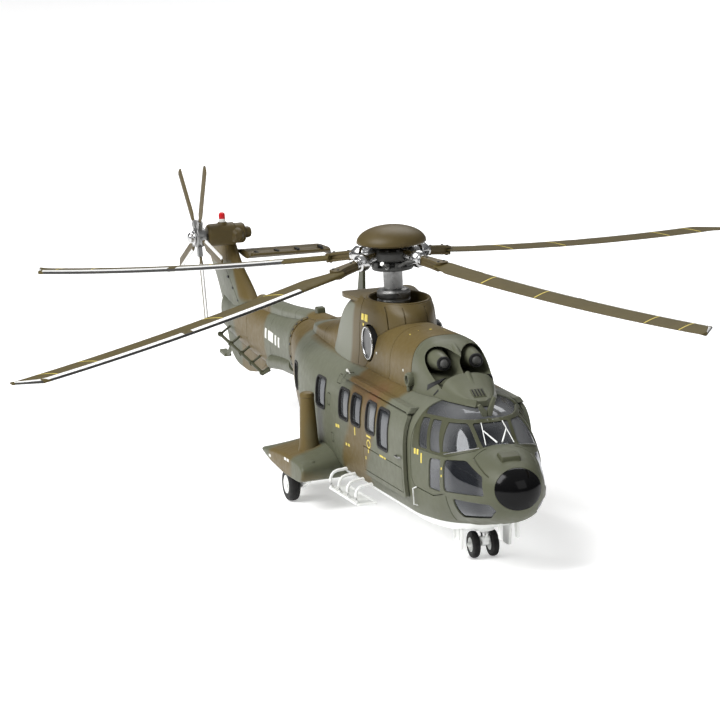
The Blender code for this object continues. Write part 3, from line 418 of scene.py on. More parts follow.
def camouflage():
    """Grey-green with soft olive-brown bands across cabin, boom and fin, darker towards the nose, with
    painted light making the green paler high up.
    """
    tree = Tree("camouflage")
    x, y, z = tree.millimetres()
    wander = tree.math("MULTIPLY", tree.math("SUBTRACT", tree.noise(60.0, 2.0), 0.5), 5.0)
    x = tree.math("ADD", x, wander)
    soft = 2.4

    # the stripe over the middle of the cabin leans forward as it climbs
    left = tree.math("MINIMUM", tree.math("ADD", tree.math("MULTIPLY", z, 0.85), -11.8), 6.0)
    right = tree.math("ADD", tree.math("MULTIPLY", z, 0.73), 11.9)
    stripe = tree.band(x, left, right, soft)
    # the band ahead of the tail joint bends forward low down
    low_shift = tree.math("MULTIPLY", tree.math("MAXIMUM", tree.math("SUBTRACT", 25.0, z), 0.0), 2.6)
    rear = tree.band(tree.math("SUBTRACT", x, low_shift), -62.5, -45.5, soft)
    rear = tree.both(rear, tree.step(z, 16.5, 2.0))
    # the patch on the boom and keel reaches further back low down
    climb = tree.math("MULTIPLY", tree.math("MAXIMUM", tree.math("SUBTRACT", z, 24.0), 0.0), 2.2)
    boom = tree.band(x, tree.math("ADD", -124.0, climb), -93.0, soft)
    # the fin's top
    slope = tree.math("ADD", tree.math("MULTIPLY", x, 0.15), 57.0)
    fin = tree.both(tree.step(z, slope, 1.2), tree.step(x, -175.0, 1.0),
                    tree.math("SUBTRACT", 1.0, tree.step(x, -108.0, 2.0)))
    # the fin's leading edge, parallel to its slope
    lean = tree.math("ADD", x, tree.math("MULTIPLY", z, 1.35))
    edge = tree.both(tree.step(lean, -80.5, 1.5), tree.step(z, 29.5, 1.5),
                     tree.math("SUBTRACT", 1.0, tree.step(x, -106.0, 2.0)))
    # the engine deck above the roof, as far as the intake seam
    deck = tree.both(tree.band(x, -40.0, 34.8, 1.6), tree.step(z, 34.0, 0.8))
    # the rear of each sponson and its strut
    sponson = tree.both(tree.step(tree.math("ABSOLUTE", y), 14.8, 0.8),
                        tree.band(x, -30.0, -12.5, soft), tree.step(z, 7.0, 0.8),
                        tree.math("SUBTRACT", 1.0, tree.step(z, 26.5, 1.0)))
    brown = tree.either(stripe, rear, boom, fin, edge, deck, sponson)

    nose = tree.step(x, 62.0, 14.0)
    shade = tree.spread(tree.noise(160.0, 4.0), 0.0, 0.35)
    green = tree.mix(nose, GREEN, tree.mix(0.45, GREEN, DARK_OLIVE))
    # painted light: above the middle of the sides the green turns paler, as where the top catches the light
    # (not near the nose)
    green = tree.mix(tree.step(z, 30.0, 12.0), green, tree.mix(nose, PALE_GREEN, green))
    green = tree.mix(shade, green, (0.078, 0.084, 0.058, 1))
    near_door_top = tree.both(tree.band(z, 28.0, 33.0, 3.0), tree.band(x, 4.0, 30.0, 6.0))
    patchy = tree.math("MULTIPLY", near_door_top, tree.spread(tree.noise(70.0, 2.0), 0.1, 0.9))
    colour = tree.mix(brown, green, tree.mix(patchy, BROWN, RUST))
    return tree.surface(colour, tree.spread(tree.noise(700.0), 0.42, 0.52))


def mast_paint():
    """Brown with the green rear wall behind the vertical panel line."""
    tree = Tree("mast_paint")
    x, _, z = tree.millimetres()
    behind = tree.math("SUBTRACT", 1.0, tree.step(x, -5.0, 1.8))
    low = tree.math("SUBTRACT", 1.0, tree.step(z, 47.0, 0.4))
    shade = tree.spread(tree.noise(120.0), 0.0, 0.3)
    brown = tree.mix(shade, DARK_BROWN, BROWN)
    colour = tree.mix(tree.both(behind, low), brown, PALE_GREEN)
    return tree.surface(colour, 0.42)


def plain_paint(name, colour, roughness=0.45, metallic=0.0, variation=0.2, **more):
    """One colour with a faint cloudy change of tone."""
    tree = Tree(name)
    darker = tuple(channel * 0.72 for channel in colour[:3]) + (1,)
    share = tree.spread(tree.noise(220.0, 4.0), 0.0, variation * 2)
    return tree.surface(tree.mix(share, colour, darker), roughness, metallic, **more)


def blade_paint():
    """Brown blade skin with fine marks along the span."""
    tree = Tree("blade_paint")
    share = tree.spread(tree.noise(300.0, 4.0), 0.0, 0.5)
    return tree.surface(tree.mix(share, (0.075, 0.058, 0.020, 1), (0.055, 0.043, 0.015, 1)), 0.6,
                        shine=0.12)


def metal(name, colour, roughness):
    """Plated metal with faint turning marks."""
    tree = Tree(name)
    rough = tree.spread(tree.noise(1500.0, 3.0), roughness * 0.7, roughness * 1.5)
    return tree.surface(colour, rough, 1.0, grain=0.01)


def rubber():
    tree = Tree("tyre_rubber")
    share = tree.spread(tree.noise(900.0, 4.0), 0.0, 1.0)
    return tree.surface(tree.mix(share, (0.012, 0.012, 0.012, 1), (0.024, 0.023, 0.022, 1)), 0.62)


def glass(name, tint, haze, pale):
    """Clear plastic pane: a tinted see-through sheet with a mirror-like skin."""
    tree = Tree(name)
    clear = tree.nodes.new("ShaderNodeBsdfTransparent")
    clear.inputs["Color"].default_value = tint
    body = tree.nodes.new("ShaderNodeBsdfDiffuse")
    cloud = tree.spread(tree.noise(75.0, 1.0), 0.0, 1.0, 0.35, 0.65)
    tree.plug(body.inputs["Color"], tree.mix(cloud, (0.018, 0.020, 0.024, 1), pale))
    skin = tree.nodes.new("ShaderNodeBsdfGlossy")
    skin.inputs["Roughness"].default_value = 0.06
    skin.inputs["Color"].default_value = (0.60, 0.61, 0.63, 1)
    inner = tree.nodes.new("ShaderNodeMixShader")
    inner.inputs[0].default_value = haze
    tree.links.new(clear.outputs[0], inner.inputs[1])
    tree.links.new(body.outputs[0], inner.inputs[2])
    facing = tree.nodes.new("ShaderNodeFresnel")
    facing.inputs["IOR"].default_value = 1.6
    outer = tree.nodes.new("ShaderNodeMixShader")
    tree.links.new(facing.outputs[0], outer.inputs[0])
    tree.links.new(inner.outputs[0], outer.inputs[1])
    tree.links.new(skin.outputs[0], outer.inputs[2])
    tree.links.new(outer.outputs[0], tree.output.inputs["Surface"])
    return tree.material


CAMOUFLAGE = camouflage()
MAST_PAINT = mast_paint()
GREEN_PAINT = plain_paint("green_paint", GREEN)
OLIVE_PAINT = plain_paint("olive_paint", DARK_OLIVE)
BROWN_PAINT = plain_paint("brown_paint", DARK_BROWN)
BLADE_PAINT = blade_paint()
WHITE_PAINT = plain_paint("white_paint", (0.76, 0.77, 0.75, 1), 0.38, variation=0.05)
BLACK_PAINT = plain_paint("black_paint", (0.010, 0.010, 0.010, 1), 0.45)
GLOSS_BLACK = plain_paint("gloss_black", (0.003, 0.003, 0.0032, 1), 0.13, grain=0.003, shine=0.15)
GREY_PLASTIC = plain_paint("grey_plastic", (0.055, 0.055, 0.052, 1), 0.45)
THROAT_GREY = plain_paint("throat_grey", (0.10, 0.10, 0.10, 1), 0.4, 0.5)
SEAT_GREY = plain_paint("seat_grey", (0.30, 0.31, 0.30, 1), 0.7)
YELLOW_MARK = plain_paint("yellow_mark", (0.62, 0.50, 0.10, 1), 0.5, variation=0.05)
WHITE_MARK = plain_paint("white_mark", (0.66, 0.66, 0.62, 1), 0.5, variation=0.05)
SILVER_EDGE = plain_paint("silver_edge", (0.66, 0.66, 0.65, 1), 0.36, 0.2, variation=0.1)
# painted shade for the rotor blades' leading edge, where the blade's front face is in shadow
EDGE_SHADE_PAINT = plain_paint("edge_shade", (0.045, 0.045, 0.045, 1), 0.4, 0.3)
STEEL = metal("steel", (0.24, 0.24, 0.235, 1), 0.36)
CHROME = metal("chrome", (0.50, 0.50, 0.50, 1), 0.2)
RUBBER = rubber()
COCKPIT_GLASS = glass("cockpit_glass", (0.26, 0.28, 0.30, 1), 0.5, (0.20, 0.205, 0.21, 1))
CABIN_GLASS = glass("cabin_glass", (0.24, 0.25, 0.26, 1), 0.75, (0.13, 0.135, 0.135, 1))
RED_LENS = plain_paint("red_lens", (0.50, 0.015, 0.02, 1), 0.12, variation=0.05)


# ---- fuselage -------------------------------------------------------------------------------
def eased(stations, longest):
    """Fill a station list with cubic steps so that the skin bends smoothly."""
    rows = []
    count = len(stations)
    slopes = []
    for i in range(count):
        before = stations[max(i - 1, 0)]
        after = stations[min(i + 1, count - 1)]
        here = stations[i]
        slope = []
        for k in range(1, len(here)):
            left = (here[k] - before[k]) / ((here[0] - before[0]) or 1)
            right = (after[k] - here[k]) / ((after[0] - here[0]) or 1)
            if i in (0, count - 1):
                slope.append(left or right)
            elif left * right <= 0:
                slope.append(0)
            else:
                slope.append(2 * left * right / (left + right))
        slopes.append(slope)
    for i in range(count - 1):
        here, after = stations[i], stations[i + 1]
        width = after[0] - here[0]
        steps = max(1, math.ceil(abs(width) / longest))
        for step in range(steps):
            t = step / steps
            row = [here[0] + width * t]
            for k in range(1, len(here)):
                a = (1 + 2 * t) * (1 - t) ** 2 * here[k] + t * t * (3 - 2 * t) * after[k]
                b = t * (1 - t) ** 2 * slopes[i][k - 1] - t * t * (1 - t) * slopes[i + 1][k - 1]
                row.append(a + b * width)
            rows.append(row)
    rows.append(list(stations[-1]))
    return rows


def superellipse(x, half_width, low, high, count, crown, floor=None):
    """One rounded-box section across the X axis; the lower half may be squarer."""
    middle = (low + high) / 2
    half_height = (high - low) / 2
    ring = []
    for i in range(count):
        angle = 2 * math.pi * (i + 0.5) / count
        c = math.cos(angle)
        s = math.sin(angle)
        bend = 2 / (floor if floor and s < 0 else crown)
        ring.append(Vector((x, half_width * math.copysign(abs(c) ** bend, c),
                            middle + half_height * math.copysign(abs(s) ** bend, s))))
    return ring


HULL_ROWS = eased(HULL, 2.0)
HULL_COUNT = 104


def hull(offset=0.0):
    """The fuselage as one solid, moved outward by `offset`."""
    rings = []
    for i, (x, half_width, low, high, crown, floor) in enumerate(HULL_ROWS):
        if i == 0:
            x -= offset
        if i == len(HULL_ROWS) - 1:
            x += offset
        half_width = max(half_width + offset, 0.5)
        low = min(low - offset, (low + high) / 2 - 0.4)
        high = max(high + offset, (low + high) / 2 + 0.4)
        rings.append(superellipse(x, half_width, low, high, HULL_COUNT, crown, floor))
    return loft(rings, "hull")


def hull_layer(inner, outer):
    return cut(hull(outer), hull(inner))


def hull_point(x, z, side, out=0.0):
    """The point of the fuselage side at this x and z, moved out by `out`."""
    for before, after in zip(HULL_ROWS, HULL_ROWS[1:]):
        if x <= after[0]:
            break
    t = (x - before[0]) / (after[0] - before[0])
    _, half_width, low, high, crown, floor = [a + (b - a) * t for a, b in zip(before, after)]
    middle = (low + high) / 2
    level = min(abs(z - middle) / ((high - low) / 2), 0.995)
    power = crown if z > middle else floor
    y = half_width * (1 - level ** power) ** (1 / power)
    return Vector((x, side * (y + out), z))


def side_prism(outline, side, inner=4.0, outer=24.0):
    return prism(outline, side * inner, side * outer)


def engrave(target, tools, layer):
    """Cut thin walls into a skin, no deeper than the layer."""
    cut(target, keep(layer, union(tools)))


def walls(path, side, width=0.22, closed=False, inner=2.0, outer=24.0):
    """Thin upright walls along an (x, z) path, to engrave a panel line with."""
    pieces = []
    count = len(path)
    for i in range(count if closed else count - 1):
        start, end = Vector(path[i]), Vector(path[(i + 1) % count])
        along = (end - start).normalized() * width * 0.5
        across = Vector((-along.y, along.x))
        outline = [start - along - across, end + along - across, end + along + across,
                   start - along + across]
        pieces.append(side_prism([tuple(point) for point in outline], side, inner, outer))
    return pieces


CANOPY_REGION = [(52.0, 24.9), (66.6, 24.9), (71.6, 26.6), (71.6, 40.0), (52.0, 40.0)]
SEAL_OUT = 0.26             # how far a window's rubber reaches over the skin
SEAL_IN = 0.22              # and over the pane
RADOME_SIZE = (5.2, 4.4)
RADOME_Z = 19.9
CREW_DOOR = [(52.2, 31.6), (51.4, 27.0), (51.2, 18.2), (52.6, 16.3), (61.0, 15.6), (65.3, 16.6)]
NOSE_PANEL = [(72.4, 26.9), (73.2, 25.4), (77.0, 24.0), (80.6, 22.6)]
CHIN_PANEL = [(66.3, 16.3), (66.0, 13.6), (64.8, 10.6)]
SMALL_HATCHES = [(-4.4, -1.8, 29.6, 31.4), (-9.4, -7.6, 23.8, 26.4), (-7.4, -5.9, 15.6, 17.6)]


def radome_tool(grow):
    outline = [((RADOME_SIZE[0] + grow) * math.cos(2 * math.pi * i / 72),
                RADOME_Z + (RADOME_SIZE[1] + grow) * math.sin(2 * math.pi * i / 72))
               for i in range(72)]
    return prism(outline, 79.0 - grow, NOSE_X + 3, "YZ")


def window_outline(window, grow=0.0):
    return rounded(grown(rectangle(*window), grow), 1.3 + grow)


def nose_outline(outline, grow=0.0):
    return rounded(grown(outline, grow), 0.8 + grow)


def cabin_skin():
    skin = cut(hull(), hull(-1.0))
    cut(skin, box((-31.05, -20, 0), (66.05, 20, 9.65)))
    cut(skin, prism(grown(CANOPY_REGION, 0.06), -20, 20))
    cut(skin, radome_tool(0.05))
    for side in SIDES.values():
        tools = [side_prism(window_outline(window), side) for window in CABIN_WINDOWS]
        tools += [side_prism(nose_outline(outline), side, 2.5) for outline in NOSE_WINDOWS]
        tools.append(side_prism(rounded(rectangle(*DOOR_OPENING), 1.4), side))
        for tool in tools:
            cut(skin, tool)
        lines = walls(CREW_DOOR, side) + walls(NOSE_PANEL, side) + walls(CHIN_PANEL, side)
        for hatch in SMALL_HATCHES:
            lines += walls(rectangle(*hatch), side, 0.16, closed=True)
        engrave(skin, lines, hull_layer(-0.3, 0.6))
    place(skin, "cabin_skin", CAMOUFLAGE, "fuselage", ["cabin_shell"])


def belly():
    """White tray, stand pad, nose socket and the two gear doors."""
    pan = keep(hull(), box((-31, -20, 0), (66, 20, 9.6)))
    cut(pan, hull(-1.0))
    pad = prism(rounded(rectangle(-8, 8, -6, 6), 1.0), BELLY_Z, BELLY_Z + 1.6, "XY")
    socket = turned([(2.2, 0), (2.2, 4.2)], (NOSE_SWIVEL_X, 0, BELLY_Z + 0.35))
    union([pan, pad, socket])
    cut(pan, turned([(1.25, 0), (1.25, 8)], (NOSE_SWIVEL_X, 0, 4)))
    lines = []
    for x in (-18.0, 14.0, 44.0):
        lines.append(box((x, -15, 3), (x + 0.2, 15, 9)))
    engrave(pan, lines, hull_layer(-0.25, 0.6))
    place(pan, "belly_tray", WHITE_PAINT, "fuselage", ["belly_pan"])
    doors = []
    for side in SIDES.values():
        outline = rounded([(55.4, 2.4), (59.4, 2.4), (60.8, 7.4), (54.2, 7.4)], 0.6)
        doors.append(prism(outline, side * 5.2, side * 5.8))
        for x in (56.0, 59.0):
            doors.append(tube([(x, side * 5.9, 4.6), (x, side * 5.9, 7.2)], 0.25, 12))
    place(merge("doors", doors), "nose_gear_doors", WHITE_PAINT, "fuselage",
          bevel=0.08)


def canopy():
    """Dark clear shell with painted frames standing over it."""
    shell = keep(hull_layer(-0.75, -0.22), prism(CANOPY_REGION, -20, 20))
    place(shell, "canopy_glass", COCKPIT_GLASS, "fuselage", ["cockpit_canopy"])
    frames = keep(hull_layer(-0.28, 0.0), prism(CANOPY_REGION, -20, 20))
    openings = [
        prism(rounded([(-3.6, 26.9), (3.6, 26.9), (4.0, 31.5), (-4.0, 31.5)], 0.6), 60, 80, "YZ"),
    ]
    eyebrow = prism([(52.9, 32.1), (66.0, 32.1), (66.0, 36), (51.0, 36), (51.0, 34.2)], -20, 20)
    openings.append(eyebrow)
    for side in SIDES.values():
        flank = [(side * 4.5, 27.2), (side * 4.8, 31.5), (side * 9.4, 31.4), (side * 13.0, 25.1)]
        wedge = prism(rounded(flank, 0.6), 58.5, 80, "YZ")
        beyond_post = [(65.3, 24.0), (60.2, 34.0), (80, 34.0), (80, 24.0)]
        openings.append(keep(wedge, prism(beyond_post, -20, 20)))
        openings.append(side_prism(rounded([(53.0, 31.5), (55.6, 31.5), (58.5, 25.3),
                                            (54.8, 25.3)], 0.6), side, 5))
        openings.append(side_prism(rounded([(56.4, 31.5), (59.5, 31.5), (64.0, 25.3),
                                            (59.7, 25.3)], 0.6), side, 5))
    for tool in openings:
        cut(frames, tool)
    place(frames, "canopy_frames", OLIVE_PAINT, "fuselage")


def window_seals(windows, side):
    """Rings round a row of windows, run in through one side, to cut rubber frames from."""
    return union([cut(side_prism(window_outline(window, SEAL_OUT), side, 5),
                      side_prism(window_outline(window, -SEAL_IN), side, 3, 26))
                  for window in windows])


def glazing(side_name, side):
    """Panes and black rubber frames of the cabin side and the lower cockpit windows."""
    panes = [side_prism(window_outline(window, -0.05), side) for window in CABIN_WINDOWS]
    cabin = keep(hull_layer(-0.8, -0.35), union(panes))
    place(cabin, "cabin_glass_" + side_name, CABIN_GLASS, "fuselage",
          ["cabin_windows_" + side_name])
    rubber_frames = keep(hull_layer(-0.5, 0.18), window_seals(CABIN_WINDOWS, side))
    place(rubber_frames, "cabin_window_rubber_" + side_name, RUBBER, "fuselage")
    panes = [side_prism(nose_outline(outline, -0.04), side, 2.5) for outline in NOSE_WINDOWS]
    nose = keep(hull_layer(-0.8, -0.25), union(panes))
    place(nose, "nose_glass_" + side_name, COCKPIT_GLASS, "fuselage",
          ["nose_windows_" + side_name])


def sliding_door(side_name, side):
    body = "cabin_door_" + side_name
    door = keep(hull_layer(0.2, 1.0), side_prism(rounded(rectangle(*DOOR), 1.2), side))
    for window in DOOR_WINDOWS:
        cut(door, side_prism(window_outline(window), side))
    lines = walls(rectangle(20.6, 48.4, 14.2, 19.6), side, 0.18, closed=True)
    engrave(door, lines, hull_layer(0.75, 1.6))
    place(door, "door_panel_" + side_name, CAMOUFLAGE, body,
          ["sliding_door_" + side_name])
    panes = union([side_prism(window_outline(window, -0.05), side) for window in DOOR_WINDOWS])
    pane = keep(hull_layer(0.3, 0.7), panes)
    place(pane, "door_glass_" + side_name, CABIN_GLASS, body,
          ["door_windows_" + side_name])
    seal = keep(hull_layer(0.5, 1.16), window_seals(DOOR_WINDOWS, side))
    place(seal, "door_window_rubber_" + side_name, RUBBER, body)
    handle = tube([hull_point(45.4, 21.9, side, 1.0), hull_point(45.6, 21.9, side, 1.55),
                   hull_point(47.9, 21.9, side, 1.55), hull_point(48.1, 21.9, side, 1.0)], 0.22)
    place(handle, "door_handle_" + side_name, STEEL, body)


def door_rail(side_name, side):
    low, high = DOOR[3] + 0.4, DOOR[3] + 1.3
    parts = [keep(hull_layer(0.1, 1.1), box((1.0, side * 5, low), (49.6, side * 20, high)))]
    for x in (1.4, 48.4):
        parts.append(keep(hull_layer(0.05, 1.2), box((x, side * 5, low - 0.2),
                                                     (x + 1.0, side * 20, high + 0.12))))
    place(union(parts), "door_track_" + side_name, CAMOUFLAGE, "fuselage",
          ["door_rail_" + side_name])
    lever = tube([hull_point(-1.4, 32.6, side, 0.2), hull_point(-0.6, 32.9, side, 0.9),
                  hull_point(3.4, 32.4, side, 0.9)], [0.2, 0.3, 0.25])
    place(lever, "door_stop_" + side_name, WHITE_MARK, "fuselage")


def radome():
    cone = keep(hull(), radome_tool(0.0))
    place(cone, "radome", GLOSS_BLACK, "fuselage", ["nose_radome"])
    hatch = prism([(75.6, 25.2), (76.3, 26.9), (79.3, 26.2), (79.9, 24.4)], -2.2, 2.2)
    place(hatch, "nose_hatch", OLIVE_PAINT, "fuselage", bevel=0.3)


cabin_skin()
belly()
canopy()
for label, hand in SIDES.items():
    glazing(label, hand)
    sliding_door(label, hand)
    door_rail(label, hand)
radome()


# ---- engine deck ----------------------------------------------------------------------------
INTAKE_X = 37.6
INTAKE_Y = 3.7
INTAKE_Z = 41.4
EXHAUST_X = 5.5
EXHAUST_Z = 39.7
EXHAUST_RADIUS = 4.2
DECK_CENTRE_X = 3.6
OVAL_STEPS = 72
ARCH_STEPS = 56             # steps round the cowling's arch
ARCH_FOOT_Z = 35.6          # the height it springs from
KNOB = Vector((36.4, 7.9, 36.6))


def cowling_section(x, half_width, top, roundness):
    """An arch with a small flared foot that stands on the cabin roof."""
    foot = [(half_width + 2.3, 28.0), (half_width + 2.3, 32.6), (half_width + 1.6, 33.2),
            (half_width + 0.9, 33.6), (half_width + 0.4, 34.2), (half_width + 0.2, 34.9)]
    ring = [Vector((x, y, z)) for y, z in foot]
    for i in range(ARCH_STEPS + 1):
        angle = math.pi * i / ARCH_STEPS
        c = math.cos(angle)
        s = math.sin(angle)
        ring.append(Vector((x, half_width * math.copysign(abs(c) ** roundness, c),
                            ARCH_FOOT_Z + (top - ARCH_FOOT_Z) * abs(s) ** (roundness - 0.05))))
    ring += [Vector((x, -y, z)) for y, z in reversed(foot)]
    return ring


def arch(rows, grow=0.0, longest=1.5):
    return loft([cowling_section(x, half_width + grow, top + grow, roundness)
                 for x, half_width, top, roundness in eased(rows, longest)], "arch")


def exhaust_tool(side):
    return turned([(EXHAUST_RADIUS, -7), (EXHAUST_RADIUS, 7)], (EXHAUST_X, side * 10, EXHAUST_Z),
                  "Y")


def cowling():
    body = arch(COWLING)
    cut(body, hull(0.03))
    for side in SIDES.values():
        cut(body, exhaust_tool(side))
    cut(body, turned([(6.4, 0), (6.4, 14)], (3.0, 0, 39.0)))
    lines = [box((x, -12, 30), (x + 0.18, 12, 50)) for x in (-31.0, 21.0)]
    cut(body, keep(cut(arch(COWLING, 0.5), arch(COWLING, -0.2)), union(lines)))
    place(body, "engine_deck_cover", CAMOUFLAGE, "fuselage",
          ["engine_cowling"])


def fairing():
    """Sculpted intake front: two flared recesses, a ridge between them, knobs, and slots drawn as black
    painted shade.
    """
    body = arch(INTAKE_FAIRING, 0.0, 0.8)
    ridge = tube([(40.0, 0, 44.6), (44.0, 0, 43.6), (48.0, 0, 41.4), (52.5, 0, 38.9),
                  (57.0, 0, 36.4)], [0.8, 0.8, 0.8, 0.7, 0.4], 24)
    combine(body, ridge, "UNION")
    for side in SIDES.values():
        flare = [(2.9, 0)]
        for i in range(13):
            t = i / 12
            flare.append((2.95 + 2.3 * t ** 2.2, 1.0 + 13.0 * t))
        cut(body, turned(flare, (INTAKE_X, side * INTAKE_Y, INTAKE_Z), "X", 72))
    cut(body, hull(0.03))
    cut(body, box((30, -12, 28), (36.3, 12, 50)))
    place(body, "intake_front", GREEN_PAINT, "fuselage", ["intake_fairing"])
    louvre = prism(rounded([(56.6, 35.0), (59.9, 34.4), (60.0, 35.9), (56.9, 37.35)], 0.3), -1.5, 1.5)
    place(louvre, "intake_louvre_plate", OLIVE_PAINT, "fuselage", bevel=0.2)
    slats = []
    for i in range(4):
        y = -1.05 + 0.7 * i
        slats.append(tube([(57.4, y, 37.15), (59.6, y, 36.1)], 0.14, 8))
    place(merge("slats", slats), "intake_louvre_slats", BLACK_PAINT, "fuselage")
    shade_fills, knobs = [], []
    for side in SIDES.values():
        # the slots are not cut: black sheets lying in the skin are painted shade where the slots' insides
        # would be dark
        slots = union([prism([(45.2, 35.6), (50.3, 37.9), (50.8, 39.0), (45.6, 36.9)], side * 3.0,
                             side * 12.0),
                       prism([(48.6, 34.9), (50.4, 36.3), (50.2, 36.6), (48.4, 35.2)], side * 3.0,
                             side * 12.0)])
        shade_fills.append(keep(cut(arch(INTAKE_FAIRING, 0.06), arch(INTAKE_FAIRING, -0.3)), slots))
        # a black disc in each knob's hollow end is painted shade for its depth
        shade_fills.append(turned([(0.05, 0.95), (0.75, 0.95), (0.75, 1.05), (0.05, 1.05)],
                              (KNOB.x, side * KNOB.y, KNOB.z), turn=side_turn(side), sides=24))
        profile = [(0.9, -0.6), (1.5, -0.4), (1.62, 0.0), (1.62, 1.0), (1.5, 1.3), (1.25, 1.42),
                   (1.0, 1.35), (0.95, 0.9), (0.05, 0.9), (0.05, -0.6)]
        knobs.append(turned(profile, (KNOB.x, side * KNOB.y, KNOB.z), turn=side_turn(side)))
        knobs.append(turned([(0.05, -0.4), (0.5, -0.4), (0.5, 0.6), (0.4, 0.75), (0.05, 0.8)],
                            (KNOB.x + 0.2, side * (KNOB.y + 0.9), 34.5), sides=20))
    place(merge("shade_fills", shade_fills), "intake_slot_painted_shade", BLACK_PAINT, "fuselage")
    place(merge("knobs", knobs), "intake_knobs", GREEN_PAINT, "fuselage")


def side_turn(side):
    """Turn a profile's height to point straight out of one side."""
    return Matrix.Rotation(-side * math.pi / 2, 3, "X")


def bullet(side_name, side):
    profile = [(0.7, 0.15), (0.7, 1.4), (2.35, 1.5), (2.45, 2.0), (2.42, 3.2), (2.2, 5.2),
               (1.9, 7.2), (1.62, 8.6), (1.55, 8.75)]
    centre = (INTAKE_X, side * INTAKE_Y, INTAKE_Z)
    body = turned(profile + [(0.05, 8.8)], centre, "X")
    place(body, "bullet_body_" + side_name, GREEN_PAINT, "fuselage",
          ["intake_bullet_" + side_name])
    ring = turned([(1.05, 8.55), (1.56, 8.6), (1.62, 8.9), (1.5, 9.25), (1.15, 9.3), (1.05, 9.0)],
                  centre, "X", closed=True)
    place(ring, "bullet_ring_" + side_name, BLACK_PAINT, "fuselage")
    cap = turned([(0.05, 8.6), (1.0, 8.6), (1.02, 9.3), (0.85, 9.6), (0.5, 9.8), (0.05, 9.85)],
                 centre, "X")
    place(cap, "bullet_cap_" + side_name, GREY_PLASTIC, "fuselage")
    back = turned([(0.05, 0.02), (3.6, 0.02), (3.3, 0.9), (0.05, 0.9)], centre, "X")
    place(back, "intake_back_" + side_name, GREEN_PAINT, "fuselage")


def exhaust(side_name, side):
    """Pipe with a black outside, a silver rolled rim and a grey throat."""
    centre = (EXHAUST_X, side * 6.4, EXHAUST_Z)
    turn = side_turn(side)
    outer = EXHAUST_RADIUS - 0.35
    pipe = turned([(outer, -3.0), (outer, 1.9), (outer - 0.4, 2.1), (outer - 0.5, 1.9),
                   (outer - 0.5, -2.6), (outer - 0.2, -3.0)], centre, turn=turn, closed=True)
    place(pipe, "exhaust_pipe_" + side_name, BLACK_PAINT, "fuselage",
          ["exhaust_" + side_name])
    throat = turned([(outer - 0.45, 1.9), (outer - 0.65, 1.6), (outer - 1.0, 0.4), (outer - 1.2, -1.8),
                     (0.05, -2.2), (0.05, -2.4), (outer - 0.45, -2.4)], centre, turn=turn)
    place(throat, "exhaust_throat_" + side_name, THROAT_GREY, "fuselage", angle=50)
    path = []
    for i in range(64):
        angle = 2 * math.pi * i / 64
        path.append((EXHAUST_X + (outer - 0.24) * math.cos(angle), side * 8.42,
                     EXHAUST_Z + (outer - 0.24) * math.sin(angle)))
    place(tube(path, 0.26, 12, closed=True), "exhaust_rim_" + side_name, CHROME, "fuselage")


def mast_ring(z, centre, half_length, half_width, grow, count=112):
    ring = []
    for i in range(count):
        angle = 2 * math.pi * (i + 0.5) / count
        c = math.cos(angle)
        s = math.sin(angle)
        bend = 2 / 3.4 if c < 0 else 1.0
        ring.append(Vector((centre + (half_length + grow) * math.copysign(abs(c) ** bend, c),
                            (half_width + grow) * math.copysign(abs(s) ** bend, s), z)))
    return ring


def mast_housing(grow=0.0):
    levels = [(29.0, -4.6, 24.2, 10.0), (33.0, -4.3, 23.6, 9.5), (37.0, -3.5, 22.3, 8.9),
              (43.0, -1.8, 19.6, 8.4), (47.0, 0.8, 15.6, 7.8), (49.0, DECK_CENTRE_X, 10.4, 7.0)]
    return loft([mast_ring(*row, grow) for row in eased(levels, 0.7)], "housing")


def ellipse(rx, ry):
    angles = [2 * math.pi * i / OVAL_STEPS for i in range(OVAL_STEPS)]
    return [(DECK_CENTRE_X + rx * math.cos(angle), ry * math.sin(angle)) for angle in angles]


def mast_fairing():
    body = mast_housing()
    cut(body, arch(COWLING, 0.02))
    cut(body, hull(0.02))
    lines = [box((0.0, -14, 28), (0.24, 14, 52))]
    for y in (-5.6, -2.6, 2.6, 5.6):
        lines.append(box((9.0, y, 42), (26.0, y + 0.2, 48.4)))
    cut(body, keep(cut(mast_housing(0.6), mast_housing(-0.22)), union(lines)))
    outline = [(-3.0, 7.3), (-11.5, 8.5), (-14.6, 7.9), (-14.1, 0.0), (-14.6, -7.9), (-11.5, -8.5),
               (-3.0, -7.3)]
    lip = prism(rounded(outline, 1.2), 47.62, 48.5, "XY")
    combine(body, lip, "UNION")
    cut(body, prism(ellipse(9.3, 6.2), 40.0, 52.0, "XY"))
    for side in SIDES.values():
        cut(body, exhaust_tool(side))
    place(body, "mast_housing", MAST_PAINT, "fuselage", ["mast_fairing"],
          angle=28)
    rim = tube([(x, y, 48.95) for x, y in ellipse(9.75, 6.6)], 0.38, 14, closed=True)
    place(rim, "well_rim", MAST_PAINT, "fuselage")
    floor = prism(ellipse(9.0, 5.9), 42.4, 43.0, "XY")
    place(floor, "well_floor", BLACK_PAINT, "fuselage")
    fittings = []
    for x, y in ((9.6, -2.2), (8.2, 3.6), (-2.6, -2.8), (-1.8, 3.2)):
        fittings.append(turned([(0.05, 43.0), (0.8, 43.0), (0.8, 45.6), (0.55, 46.1), (0.05, 46.2)],
                               (x, y, 0), sides=24))
    fittings.append(prism(rounded(rectangle(5.6, 7.6, -1.4, 1.4), 0.4), 43.0, 45.4, "XY"))
    place(merge("fittings", fittings), "well_fittings", STEEL, "fuselage")
    bracket = prism([(-4.4, 43.0), (-3.2, 43.0), (-2.8, 47.6), (-3.8, 47.6)], -1.2, 1.2)
    place(bracket, "well_bracket", GREY_PLASTIC, "fuselage", bevel=0.2)


